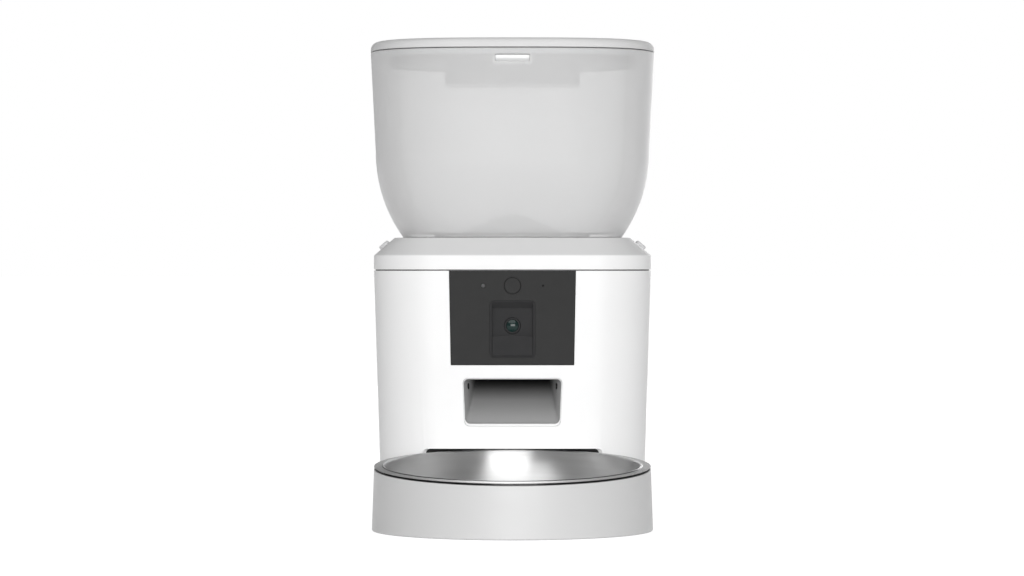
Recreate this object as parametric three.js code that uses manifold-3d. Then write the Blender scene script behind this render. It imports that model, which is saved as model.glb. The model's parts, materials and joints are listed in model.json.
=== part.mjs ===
// Pet feeder with a camera: hopper, metering rotor, chute, docked tray and steel bowl.
// Millimetres, +Z up, the feeder looks along -Y. The origin ends up under the middle of the whole
// object, on the surface that it stands on. While it is built, y = 0 is the middle of the base.

import * as THREE from 'three';
import { mergeVertices } from 'three/addons/utils/BufferGeometryUtils.js';
import Module from 'manifold-3d';

const wasm = await Module();
wasm.setup();

// General clearances, walls and cut overrun
const wall = 2.5;
const fitGap = 0.3;
const slideGap = 0.4;
const cutOverrun = 1;
const mergeDistance = 0.00001;

// Base housing
const standHeight = 2;
const seamHeight = 170;
const seamGap = 0.6;
const baseTopWidth = 188;
const baseFootWidth = 177.4;
const baseDepth = 180;
const baseCornerRadius = 40;

// Top cover with its sloped shoulder
const coverBandHeight = 8.4;
const shoulderInset = 14.2;
const shoulderRise = 12.1;
const coverMouthRadius = 57.4;

// Bottom plate, feet and battery door
const plateThickness = 3;
const footRadius = 8;
const footPocketDepth = 1.3;
const footChamfer = 0.8;
const footSideInset = 24;
const footEndInset = 26;
const doorWidth = 99.2;
const doorRearInset = 17;
const doorLength = 62;
const doorThickness = 2.4;
const doorHingeInset = 2;
const doorPivotRadius = 0.7;
const doorPivotLength = 1.2;
const doorGripInset = 5;
const doorGripWidth = 3;
const doorGripHalfWidth = 12;

// Screws and the columns that take them
const screwHeadRadius = 3;
const screwHeadHeight = 1.4;
const screwShankRadius = 1.5;
const screwShankLength = 12;
const columnRadius = 5;
const columnLength = 17;
const columnInset = 6.6;
const coverColumnDrop = 5;
const upperColumnLength = 8;
const coverScrewLength = 16;

// Hopper
const hopperTopHeight = 318;
const hopperTopHalfWidth = 97.6;
const hopperDepthLoss = 5.6;
const hopperCentreY = 2;
const hopperBendShare = 0.4628752;
const hopperFlare = 3.4;
const hopperFloorHalfWidth = 75.2312;
const hopperWall = 2.4;
const hopperFloorThickness = 2.6;
const planExponent = 3;
const collarRadius = 56.6;
const collarWall = 3;
const collarDrop = 4.2;
const lugInnerX = 69;
const lugThickness = 4;
const lugWidth = 10;
const lugDrop = 10;

// Lid, plug, gasket and desiccant box
const lidHeight = 6.4;
const lidEdgeRadius = 4.6;
const lidSkin = 2.4;
const plugInset = 12.6;
const plugWall = 2;
const plugDrop = 16;
const gasketHeight = 3.6;
const gasketTopGap = 0.6;
const desiccantHalfWidth = 46;
const desiccantFront = -28;
const desiccantRear = 32;
const desiccantDrop = 22;
const desiccantCoverThickness = 1.8;
const desiccantSlotWidth = 3;
const desiccantSlotPitch = 10;
const desiccantSlotMargin = 10;
const desiccantHingeInset = 1;
const desiccantPivotRadius = 0.6;
const desiccantPivotLength = 0.9;
const catchHalfWidth = 8;
const catchReach = 5;
const catchThickness = 4;

// Lid hinge
const hingeBackset = 4;
const hingeRise = 1;
const knuckleRadius = 3.5;
const hingePinRadius = 1.3;
const middleKnuckleLength = 28;
const endKnuckleLength = 10;
const knuckleFootDrop = 8;

// Lid release button in the hopper's front wall
const lidButtonWidth = 22.6;
const lidButtonDrop = 9;
const lidButtonHeight = 4.3;
const lidButtonDepth = 6.2;
const lidButtonStandOut = 0.4;
const lidButtonLip = 2;
const lidButtonLipThickness = 1.2;
const lidButtonLipDrop = 1.7;

// Hopper release tabs on the side slopes
const tabAlongSlope = 8.85;
const tabHeight = 7.5;
const tabLength = 22;
const tabStandOut = 3.3;
const tabLip = 2;
const tabLipThickness = 1.2;
const tabStemWidth = 5;
const tabStemDepth = 9;
const catchBarHeight = 2.5;
const catchBarWidth = 3.4;
const catchArmWidth = 3;

// Metering rotor and its chamber
const rotorY = 2;
const chamberFloorHeight = 150;
const chamberFloorThickness = 2.5;
const chamberRadius = 58;
const chamberWall = 2.5;
const chamberTopHeight = 188.2;
const chamberLedgeHeight = 183.9;
const chamberLedgeDepth = 2.2;
const chamberFlangeReach = 4.5;
const chamberFlangeThickness = 2;
const rotorFloorGap = 0.6;
const rotorHeight = 30;
const rotorRadius = 56.8;
const rotorHubRadius = 9;
const paddleCount = 6;
const paddleThickness = 2.4;
const rotorShaftRadius = 4.5;
const rotorShaftDrop = 17;
const bushOuterRadius = 7.5;
const bushFlangeRadius = 10;
const bushFlangeThickness = 1.2;
const dropInnerRadius = 28;
const dropOuterRadius = 52;
const dropHalfAngle = 27;
const guardHalfAngle = 33;
const guardRingInnerRadius = 54;
const guardHubHoleRadius = 10;
const guardHubWidth = 4;
const guardThickness = 2.2;
const agitatorStemRadius = 7;
const spigotRadius = 3.5;
const spigotLength = 7;
const agitatorStemHeight = 14;
const agitatorFinCount = 3;
const agitatorFinReach = 38;
const agitatorFinRise = 18;
const agitatorFinThickness = 2.4;
const agitatorFinBottomGap = 3;

// Drive: gears, bracket, gearbox and motor
const gearModule = 1.25;
const rotorTeeth = 32;
const pinionTeeth = 12;
const gearWidth = 8;
const gearDrop = 4;
const gearAddendum = 1.05;
const gearDedendum = 1.6;
const gearBacklash = 0.45;
const pressureAngle = 20;
const bracketThickness = 2.5;
const bracketDrop = 1.4;
const bracketMargin = 7;
const postRadius = 4;
const sidePostX = 34;
const sidePostY = 6;
const rearPostY = 54;
const gearboxRadius = 17;
const gearboxHeight = 24;
const gearboxBossRadius = 6;
const motorRadius = 12;
const motorHeight = 28;
const motorEndRadius = 5;
const motorEndHeight = 3;
const pinionShaftRadius = 2.4;

// Food outlet and chute
const outletTopWidth = 64.4;
const outletBottomWidth = 61.5;
const outletHeight = 31.7;
const outletDrop = 9.3;
const outletCornerRadius = 3.7;
const chuteWall = 1.5;
const ductHalfWidth = 25.5;
const ductSideGap = 0.8;
const rampRise = 31;
const rampOpening = 16;
const ductFloorRise = 20;
const sensorRadius = 2;
const sensorBackset = 12;
const sensorDrop = 5.5;
const sensorBodySize = 7;
const sensorBodyDepth = 5;
const sensorNubReach = 1;

// Front panel with its button, light and microphone
const panelTopWidth = 83.7;
const panelBottomWidth = 81.4;
const panelBottomMargin = 5.6;
const panelThickness = 4;
const panelLip = 3;
const panelLipThickness = 1.2;
const buttonRadius = 5.5;
const buttonDrop = 11.2;
const buttonLength = 6.4;
const buttonStandOut = 0.4;
const buttonLipRadius = 6.9;
const buttonLipThickness = 1.2;
const buttonTravel = 0.8;
const switchGap = 0.2;
const lightX = -19.6;
const lightHoleRadius = 1.45;
const microphoneX = 20.4;
const microphoneHoleRadius = 0.7;
const microphoneRadius = 3;
const controlBoardHalfWidth = 36;
const controlBoardBackset = 10;
const controlBoardHalfHeight = 8;
const boardThickness = 1.6;
const switchSize = 6;
const boardPostRadius = 2.5;
const boardPostInset = 5;

// Camera pocket, lens and privacy shutter
const pocketWidth = 30;
const pocketDrop = 10.5;
const pocketHeight = 36.7;
const pocketCornerRadius = 2.4;
const pocketWall = 2.1;
const pocketDepth = 4.6;
const pocketFloorThickness = 2;
const pocketEdge = 0.9;
const hoodDrop = 3.4;
const lensDrop = 16.4;
const lensBarrelRadius = 5.4;
const lensBarrelFront = 2.2;
const lensFlangeRadius = 7;
const lensFlangeThickness = 1.2;
const lensGlassRadius = 4;
const lensGlassRise = 0.5;
const lensGlassSeat = 1.3;
const shutterHeight = 13.6;
const shutterThickness = 1.1;
const shutterBackset = 0.3;
const shutterEar = 1.2;
const shutterEarThickness = 0.7;
const shutterTravel = 13;
const cameraBoardHalfWidth = 14;
const cameraBoardBackset = 11;
const cameraBoardBottomMargin = 4.4;
const cameraBoardTopMargin = 1.3;

// Battery case and contacts
const caseHalfWidth = 52;
const caseTopHeight = 42;
const caseWall = 2;
const contactThickness = 0.6;
const contactHalfWidth = 47;
const contactBottom = 12;
const contactTop = 34;
const contactPadRadius = 6;
const contactPadThickness = 1.4;
const contactConeRadius = 3;
const contactConeLength = 7;
const cellPitch = 33;

// Main board, radio shield, speaker and power inlet
const mainBoardHalfWidth = 36;
const mainBoardBottom = 50;
const mainBoardTop = 112;
const mainBoardBackset = 8.4;
const standoffRadius = 3;
const standoffInset = 6;
const shieldWidth = 22;
const shieldHeight = 20;
const shieldDepth = 3.2;
const shieldX = 15;
const shieldBottom = 84;
const speakerRadius = 20;
const speakerFrameDepth = 3.2;
const speakerMagnetRadius = 10;
const speakerMagnetDepth = 8;
const speakerHeight = 137;
const grilleSlotCount = 5;
const grilleSlotWidth = 26;
const grilleSlotHeight = 2;
const grilleSlotPitch = 5;
const inletX = 43.4;
const inletHeight = 49;
const inletBoreRadius = 5;
const inletCollarRadius = 6.4;
const inletFaceBackset = 6.5;
const inletBodySize = 13;
const inletBodyDepth = 10;
const inletSocketRadius = 2.9;
const inletSocketDepth = 6;
const inletPinRadius = 0.9;

// Tray, its dock in the base and the bowl
const trayAhead = 69;
const trayTopRadius = 90;
const trayFootRadius = 91.5;
const trayRimHeight = 41.7;
const trayTilt = 4;
const trayWall = 2.5;
const dockGap = 1.1;
const dockWall = 2;
const dockTopHeight = 49.8;
const tongueWidth = 28;
const tongueBottom = 6;
const tongueThickness = 4;
const tongueReach = 8;
const bowlRimGap = 0.4;
const bowlRimThickness = 1.4;
const bowlRimRadius = 90;
const bowlMouthRadius = 83;
const bowlBottomRadius = 52;
const bowlDepth = 30;
const bowlSheet = 1;

// Facet counts
const cornerSteps = 5;
const planSteps = 10;
const roundSteps = 16;
const largeRoundSteps = 40;
const smallRoundSteps = 8;
const bowlWallSteps = 5;
const hopperWallSteps = 5;
const lidEdgeSteps = 2;

// Places that follow from the sizes above
const baseFront = -baseDepth / 2;
const baseRear = baseDepth / 2;
const innerFront = baseFront + wall;
const innerRear = baseRear - wall;
const coverBottom = seamHeight + seamGap;
const coverBandTop = coverBottom + coverBandHeight;
const coverTop = coverBandTop + shoulderRise;
const plateTop = standHeight + plateThickness;
const hopperFloorHeight = coverTop + fitGap;
const hopperFloorTop = hopperFloorHeight + hopperFloorThickness;
const hopperTopHalfDepth = hopperTopHalfWidth - hopperDepthLoss;
const hopperBendHalfWidth = hopperTopHalfWidth - hopperFlare;
const hopperBendRise = hopperBendShare * (hopperTopHeight - hopperFloorHeight);
const hopperBendHeight = hopperFloorHeight + hopperBendRise;
const hopperBendReach = hopperBendHalfWidth - hopperFloorHalfWidth;
const hopperBowlRadius = (hopperBendRise ** 2 + hopperBendReach ** 2) / (2 * hopperBendReach);
const plugHalfWidth = hopperTopHalfWidth - plugInset;
const lidButtonBottom = hopperTopHeight - lidButtonDrop;
const hingeY = hopperCentreY + hopperTopHalfDepth + hingeBackset;
const hingeHeight = hopperTopHeight + hingeRise;
const lidBottom = hopperTopHeight + seamGap;
const lidTop = lidBottom + lidHeight;
const depthLoss = hopperTopHalfWidth - hopperTopHalfDepth;
const rotorBottom = chamberFloorHeight + chamberFloorThickness + rotorFloorGap;
const rotorTop = rotorBottom + rotorHeight;
const chamberOuterRadius = chamberRadius + chamberWall;
const gearTop = chamberFloorHeight - gearDrop;
const gearBottom = gearTop - gearWidth;
const bracketTop = gearBottom - bracketDrop;
const bracketBottom = bracketTop - bracketThickness;
const rotorShaftBottom = rotorBottom - rotorShaftDrop;
const postPlaces = [[-sidePostX, sidePostY], [sidePostX, sidePostY], [0, rearPostY]];
const rotorPitchRadius = gearModule * rotorTeeth / 2;
const pinionPitchRadius = gearModule * pinionTeeth / 2;
const pinionY = rotorY + rotorPitchRadius + pinionPitchRadius;
const ductFront = rotorY - dropOuterRadius - ductSideGap;
const ductRear = rotorY - dropInnerRadius * Math.cos(degrees(dropHalfAngle)) + ductSideGap;
const trayY = baseFront - trayAhead;
const dockRadius = trayFootRadius + dockGap;
const screwHoleRadius = screwShankRadius + fitGap;
const buttonHeight = seamHeight - buttonDrop;
const pocketTopHeight = buttonHeight - pocketDrop;
const pocketBottomHeight = pocketTopHeight - pocketHeight;
const lensHeight = pocketTopHeight - lensDrop;
const cameraBoardBottom = pocketBottomHeight + cameraBoardBottomMargin;
const cameraBoardTop = pocketTopHeight - cameraBoardTopMargin;
const panelBottomHeight = pocketBottomHeight - panelBottomMargin;
const outletTopHeight = panelBottomHeight - outletDrop;
const outletBottomHeight = outletTopHeight - outletHeight;
const rampRearHeight = outletBottomHeight + rampRise;
const rampRearTopHeight = rampRearHeight + rampOpening;
const ductRearFloorHeight = rampRearHeight + ductFloorRise;
const sensorHeight = outletTopHeight - sensorDrop;
const panelBack = baseFront + panelThickness;
const controlBoardFront = baseFront + controlBoardBackset;
const cameraBoardFront = baseFront + cameraBoardBackset;
const pocketFloorFront = baseFront + pocketDepth;
const pocketFloorBack = pocketFloorFront + pocketFloorThickness;
const mainBoardBack = innerRear - mainBoardBackset + boardThickness;
const doorHalfWidth = doorWidth / 2;
const doorRear = baseRear - doorRearInset;
const doorFront = doorRear - doorLength;
const doorOpeningRear = doorRear + slideGap;
const doorOpeningFront = doorFront - slideGap;
const doorOpeningHalfWidth = doorHalfWidth + slideGap;
const caseFront = doorOpeningFront - caseWall - fitGap;
const caseRear = doorOpeningRear + caseWall + fitGap;
const frontMost = trayY - trayFootRadius;
const rearMost = hingeY + knuckleRadius;

function degrees(angle) {
  return angle * Math.PI / 180;
}

// Geometry to solid and back

function solidOf(geometry) {
  const bare = new THREE.BufferGeometry();
  bare.setAttribute('position', geometry.getAttribute('position').clone());
  bare.setIndex(geometry.index ? geometry.index.clone() : null);
  const merged = mergeVertices(bare, mergeDistance);
  const index = merged.index.array;
  const kept = [];
  for (let i = 0; i < index.length; i += 3) {
    const [a, b, c] = [index[i], index[i + 1], index[i + 2]];
    if (a !== b && b !== c && c !== a) kept.push(a, b, c);
  }
  const mesh = new wasm.Mesh({
    numProp: 3,
    vertProperties: new Float32Array(merged.getAttribute('position').array),
    triVerts: new Uint32Array(kept),
  });
  return new wasm.Manifold(mesh);
}

function geometryOf(solid) {
  const mesh = solid.getMesh();
  const geometry = new THREE.BufferGeometry();
  const positions = new Float32Array(mesh.numVert * 3);
  for (let i = 0; i < mesh.numVert; i++) {
    for (let k = 0; k < 3; k++) positions[3 * i + k] = mesh.vertProperties[mesh.numProp * i + k];
  }
  geometry.setAttribute('position', new THREE.BufferAttribute(positions, 3));
  geometry.setIndex(new THREE.BufferAttribute(new Uint32Array(mesh.triVerts), 1));
  geometry.computeVertexNormals();
  return geometry;
}

function joined(...solids) {
  return solids.reduce((sum, solid) => sum.add(solid));
}

function cut(solid, ...tools) {
  return tools.reduce((rest, tool) => rest.subtract(tool), solid);
}

// Basic solids

function block(x0, x1, y0, y1, z0, z1) {
  const geometry = new THREE.BoxGeometry(x1 - x0, y1 - y0, z1 - z0);
  geometry.translate((x0 + x1) / 2, (y0 + y1) / 2, (z0 + z1) / 2);
  return solidOf(geometry);
}

function rodZ(radius, x, y, z0, z1, steps = smallRoundSteps) {
  const geometry = new THREE.CylinderGeometry(radius, radius, z1 - z0, steps);
  geometry.rotateX(Math.PI / 2);
  geometry.translate(x, y, (z0 + z1) / 2);
  return solidOf(geometry);
}

function rodY(radius, x, z, y0, y1, steps = smallRoundSteps) {
  const geometry = new THREE.CylinderGeometry(radius, radius, y1 - y0, steps);
  geometry.translate(x, (y0 + y1) / 2, z);
  return solidOf(geometry);
}

function rodX(radius, y, z, x0, x1, steps = smallRoundSteps) {
  const geometry = new THREE.CylinderGeometry(radius, radius, x1 - x0, steps);
  geometry.rotateZ(Math.PI / 2);
  geometry.translate((x0 + x1) / 2, y, z);
  return solidOf(geometry);
}

function plateXY(points, z0, z1) {
  const shape = new THREE.Shape(points.map(([x, y]) => new THREE.Vector2(x, y)));
  const geometry = new THREE.ExtrudeGeometry(shape, { depth: z1 - z0, bevelEnabled: false });
  geometry.translate(0, 0, z0);
  return solidOf(geometry);
}

function plateXZ(points, y0, y1) {
  const shape = new THREE.Shape(points.map(([x, z]) => new THREE.Vector2(x, z)));
  const geometry = new THREE.ExtrudeGeometry(shape, { depth: y1 - y0, bevelEnabled: false });
  geometry.rotateX(Math.PI / 2);
  geometry.translate(0, y1, 0);
  return solidOf(geometry);
}

function plateYZ(points, x0, x1) {
  const shape = new THREE.Shape(points.map(([y, z]) => new THREE.Vector2(y, z)));
  const geometry = new THREE.ExtrudeGeometry(shape, { depth: x1 - x0, bevelEnabled: false });
  geometry.rotateX(Math.PI / 2);
  geometry.rotateZ(Math.PI / 2);
  geometry.translate(x0, 0, 0);
  return solidOf(geometry);
}

// Profile of [radius, height] pairs turned round a vertical axis
function turnedGeometry(profile, steps) {
  const points = profile.map(([r, z]) => new THREE.Vector2(r, z));
  const onAxis = profile[0][0] === 0 && profile[profile.length - 1][0] === 0;
  if (!onAxis) points.push(points[0].clone());
  const geometry = new THREE.LatheGeometry(points, steps);
  geometry.rotateX(Math.PI / 2);
  return geometry;
}

function turnedZ(profile, x, y, steps = roundSteps) {
  const geometry = turnedGeometry(profile, steps);
  geometry.translate(x, y, 0);
  return upright(solidOf(geometry));
}

// The same profile, its heights measured from the front towards the rear
function turnedY(profile, x, z, steps = roundSteps) {
  const geometry = turnedGeometry(profile, steps);
  geometry.rotateX(-Math.PI / 2);
  geometry.translate(x, 0, z);
  return upright(solidOf(geometry));
}

// A solid whose faces point inwards has a negative volume and is rebuilt with them turned
function upright(solid) {
  if (solid.volume() > 0) return solid;
  const mesh = solid.getMesh();
  const turned = Uint32Array.from(mesh.triVerts);
  for (let i = 0; i < turned.length; i += 3) {
    [turned[i + 1], turned[i + 2]] = [turned[i + 2], turned[i + 1]];
  }
  return new wasm.Manifold(new wasm.Mesh({
    numProp: mesh.numProp,
    vertProperties: mesh.vertProperties,
    triVerts: turned,
  }));
}

// Solid through a list of convex rings with the same number of points
function loft(rings) {
  const count = rings[0].length;
  const positions = [];
  const faces = [];
  for (const ring of rings) {
    for (const point of ring) positions.push(point.x, point.y, point.z);
  }
  for (let k = 0; k + 1 < rings.length; k++) {
    for (let i = 0; i < count; i++) {
      const j = (i + 1) % count;
      const [a, b, c, d] = [k * count + i, k * count + j, (k + 1) * count + j, (k + 1) * count + i];
      faces.push(a, b, c, a, c, d);
    }
  }
  const last = (rings.length - 1) * count;
  for (let i = 1; i + 1 < count; i++) {
    faces.push(0, i + 1, i);
    faces.push(last, last + i, last + i + 1);
  }
  const geometry = new THREE.BufferGeometry();
  geometry.setAttribute('position', new THREE.Float32BufferAttribute(positions, 3));
  geometry.setIndex(faces);
  return upright(solidOf(geometry));
}

// Rings of points

function roundedPoints(halfX, halfY, radius) {
  const points = [];
  const corners = [[1, 1], [-1, 1], [-1, -1], [1, -1]];
  corners.forEach(([sx, sy], quarter) => {
    for (let i = 0; i <= cornerSteps; i++) {
      const angle = (quarter + i / cornerSteps) * Math.PI / 2;
      const x = sx * (halfX - radius) + radius * Math.cos(angle);
      const y = sy * (halfY - radius) + radius * Math.sin(angle);
      points.push([x, y]);
    }
  });
  return points;
}

function baseHalfWidth(z) {
  const share = (z - standHeight) / (seamHeight - standHeight);
  return (baseFootWidth + (baseTopWidth - baseFootWidth) * share) / 2;
}

function baseRing(z, inset) {
  const radius = baseCornerRadius - inset;
  const points = roundedPoints(baseHalfWidth(z) - inset, baseDepth / 2 - inset, radius);
  return points.map(([x, y]) => new THREE.Vector3(x, y, z));
}

function coverRing(z, inset) {
  const radius = baseCornerRadius - inset;
  const points = roundedPoints(baseTopWidth / 2 - inset, baseDepth / 2 - inset, radius);
  return points.map(([x, y]) => new THREE.Vector3(x, y, z));
}

function planRing(halfWidth, z) {
  const halfDepth = halfWidth - depthLoss;
  const ring = [];
  const count = 4 * planSteps;
  for (let i = 0; i < count; i++) {
    const angle = i / count * 2 * Math.PI;
    const [c, s] = [Math.cos(angle), Math.sin(angle)];
    const x = halfWidth * Math.sign(c) * Math.abs(c) ** (2 / planExponent);
    const y = halfDepth * Math.sign(s) * Math.abs(s) ** (2 / planExponent);
    const onAxis = i % planSteps === 0;
    const [px, py] = onAxis ? [halfWidth * Math.round(c), halfDepth * Math.round(s)] : [x, y];
    ring.push(new THREE.Vector3(px, hopperCentreY + py, z));
  }
  return ring;
}

// Point on the base's 45 degree corner line, at the given inset from the outline
function cornerPoint(halfWidth, sx, sy, inset) {
  const reach = (baseCornerRadius - inset) * Math.SQRT1_2;
  const x = sx * (halfWidth - baseCornerRadius + reach);
  const y = sy * (baseDepth / 2 - baseCornerRadius + reach);
  return [x, y];
}

const cornerSigns = [[1, -1], [1, 1], [-1, 1], [-1, -1]];

// Materials

function material(color, roughness, metalness = 0, opacity = 1) {
  const options = { color, roughness, metalness };
  if (opacity < 1) Object.assign(options, { transparent: true, opacity });
  return new THREE.MeshStandardMaterial(options);
}

const whitePlastic = () => material(0xf4f4f4, 0.35);
const greyPlastic = () => material(0xd9d9da, 0.4);
const darkPlastic = () => material(0x3d3d3f, 0.55);
const blackPlastic = () => material(0x161617, 0.45);
const smokyPlastic = () => material(0xc9cacb, 0.2, 0, 0.6);
const naturalPlastic = () => material(0xe6e4dc, 0.5);
const brushedSteel = () => material(0xb5b6b8, 0.3, 1);
const screwSteel = () => material(0x8f9193, 0.35, 1);
const brass = () => material(0xb9974a, 0.35, 1);
const rubber = () => material(0x2b2b2c, 0.85);
const silicone = () => material(0xd4d5d6, 0.7);
const boardGreen = () => material(0x1f5a3a, 0.5);
const lensGlass = () => material(0x2c4a45, 0.05);

const feeder = new THREE.Group();

function add(name, solid, finish, parent = feeder) {
  const mesh = new THREE.Mesh(geometryOf(solid), finish);
  mesh.name = name;
  parent.add(mesh);
  return mesh;
}

function place(name, geometry, finish, x, y, z, parent = feeder) {
  const mesh = new THREE.Mesh(geometry, finish);
  mesh.name = name;
  mesh.position.set(x, y, z);
  parent.add(mesh);
  return mesh;
}

// A box set in a turned frame
function turnedBlock(frame, x0, x1, y0, y1, z0, z1) {
  const geometry = new THREE.BoxGeometry(x1 - x0, y1 - y0, z1 - z0);
  geometry.translate((x0 + x1) / 2, (y0 + y1) / 2, (z0 + z1) / 2);
  geometry.applyMatrix4(frame);
  return solidOf(geometry);
}

// A flat fin with an outline of [radius, height] pairs, turned about the rotor's axis
function radialFin(points, thickness, angle) {
  const shape = new THREE.Shape(points.map(([r, z]) => new THREE.Vector2(r, z)));
  const geometry = new THREE.ExtrudeGeometry(shape, { depth: thickness, bevelEnabled: false });
  geometry.translate(0, 0, -thickness / 2);
  geometry.rotateX(Math.PI / 2);
  geometry.rotateZ(angle);
  geometry.translate(0, rotorY, 0);
  return solidOf(geometry);
}

// Part of a disc about the rotor's axis, centred on the front
function frontSector(innerRadius, outerRadius, halfAngle, z0, z1) {
  const points = [];
  for (let i = 0; i <= cornerSteps; i++) {
    const angle = degrees(-90 + halfAngle * (2 * i / cornerSteps - 1));
    points.push([outerRadius * Math.cos(angle), rotorY + outerRadius * Math.sin(angle)]);
  }
  for (let i = cornerSteps; i >= 0; i--) {
    const angle = degrees(-90 + halfAngle * (2 * i / cornerSteps - 1));
    points.push([innerRadius * Math.cos(angle), rotorY + innerRadius * Math.sin(angle)]);
  }
  return plateXY(points, z0, z1);
}

// Base housing

const lowerColumnBottom = plateTop + fitGap;
const lowerColumnTop = lowerColumnBottom + columnLength;
const coverColumnBottom = seamHeight - coverColumnDrop;
const upperColumnTop = coverColumnBottom - fitGap;
const upperColumnBottom = upperColumnTop - upperColumnLength;
const lowerColumnHalfWidth = baseHalfWidth(plateTop);
const upperColumnHalfWidth = baseTopWidth / 2;

function panelOutline(grow, top) {
  const bottom = panelBottomHeight - grow;
  const low = panelBottomWidth / 2 + grow;
  const high = panelTopWidth / 2 + grow;
  return [[-low, bottom], [low, bottom], [high, top], [-high, top]];
}

function outletRing(y, halfTop, z0, z1, radius) {
  const taper = outletBottomWidth / outletTopWidth;
  const middle = (z0 + z1) / 2;
  const points = roundedPoints(halfTop, (z1 - z0) / 2, radius);
  return points.map(([x, dz]) => {
    const share = (middle + dz - z0) / (z1 - z0);
    return new THREE.Vector3(x * (taper + (1 - taper) * share), y, middle + dz);
  });
}

function outletCut(y0, y1) {
  const ring = (y) => outletRing(y, outletTopWidth / 2, outletBottomHeight, outletTopHeight,
    outletCornerRadius);
  return loft([ring(y0), ring(y1)]);
}

function housingColumns() {
  return cornerSigns.flatMap(([sx, sy]) => {
    const [lx, ly] = cornerPoint(lowerColumnHalfWidth, sx, sy, columnInset);
    const [ux, uy] = cornerPoint(upperColumnHalfWidth, sx, sy, columnInset);
    const lower = rodZ(columnRadius, lx, ly, lowerColumnBottom, lowerColumnTop);
    const upper = rodZ(columnRadius, ux, uy, upperColumnBottom, upperColumnTop);
    return [lower, upper];
  });
}

function housingColumnHoles() {
  return cornerSigns.flatMap(([sx, sy]) => {
    const [lx, ly] = cornerPoint(lowerColumnHalfWidth, sx, sy, columnInset);
    const [ux, uy] = cornerPoint(upperColumnHalfWidth, sx, sy, columnInset);
    const depth = lowerColumnBottom + screwShankLength;
    const lower = rodZ(screwHoleRadius, lx, ly, lowerColumnBottom - cutOverrun, depth);
    const low = upperColumnBottom - cutOverrun;
    const upper = rodZ(screwHoleRadius, ux, uy, low, upperColumnTop + cutOverrun);
    return [lower, upper];
  });
}

function grilleSlots() {
  const slots = [];
  for (let i = 0; i < grilleSlotCount; i++) {
    const z = speakerHeight + (i - (grilleSlotCount - 1) / 2) * grilleSlotPitch;
    const [z0, z1] = [z - grilleSlotHeight / 2, z + grilleSlotHeight / 2];
    const half = grilleSlotWidth / 2;
    slots.push(block(-half, half, innerRear - cutOverrun, baseRear + cutOverrun, z0, z1));
  }
  return slots;
}

function boardStandoffs() {
  const reach = mainBoardHalfWidth - standoffInset;
  const heights = [mainBoardBottom + standoffInset, mainBoardTop - standoffInset];
  const front = mainBoardBack + fitGap;
  return heights.flatMap((z) => [-reach, reach].map(
    (x) => rodY(standoffRadius, x, z, front, innerRear + wall / 2)));
}

function makeHousing() {
  const outer = loft([baseRing(standHeight, 0), baseRing(seamHeight, 0)]);
  const low = standHeight - cutOverrun;
  const inner = loft([baseRing(low, wall), baseRing(seamHeight + cutOverrun, wall)]);
  const shell = joined(cut(outer, inner), ...housingColumns(), ...boardStandoffs());
  const front = baseFront - cutOverrun;
  const back = innerFront + cutOverrun;
  const inletHole = inletCollarRadius + fitGap;
  return cut(
    shell,
    ...housingColumnHoles(),
    ...grilleSlots(),
    plateXZ(panelOutline(0, seamHeight + cutOverrun), front, back),
    outletCut(front, back),
    rodZ(dockRadius, 0, trayY, low, dockTopHeight, largeRoundSteps),
    rodY(inletHole, inletX, inletHeight, innerRear - cutOverrun, baseRear + cutOverrun,
      roundSteps),
  );
}

// Top cover

const shoulderSlope = shoulderRise / shoulderInset;
const shoulderLength = Math.hypot(shoulderRise, shoulderInset);
const slopeStretch = Math.hypot(1, shoulderSlope);
const coverUnderside = coverTop - wall;

function tabFrame(side) {
  const x = baseTopWidth / 2 - tabAlongSlope * shoulderInset / shoulderLength;
  const z = coverBandTop + tabAlongSlope * shoulderRise / shoulderLength;
  const turn = Math.atan2(shoulderRise, shoulderInset);
  const frame = new THREE.Matrix4().makeRotationY(side * turn);
  return frame.setPosition(side * x, rotorY, z);
}

function lugBlock(side, grow, z0, z1) {
  const inner = lugInnerX - grow;
  const outer = lugInnerX + lugThickness + grow;
  const [x0, x1] = side > 0 ? [inner, outer] : [-outer, -inner];
  const half = lugWidth / 2 + grow;
  return block(x0, x1, rotorY - half, rotorY + half, z0, z1);
}

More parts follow.
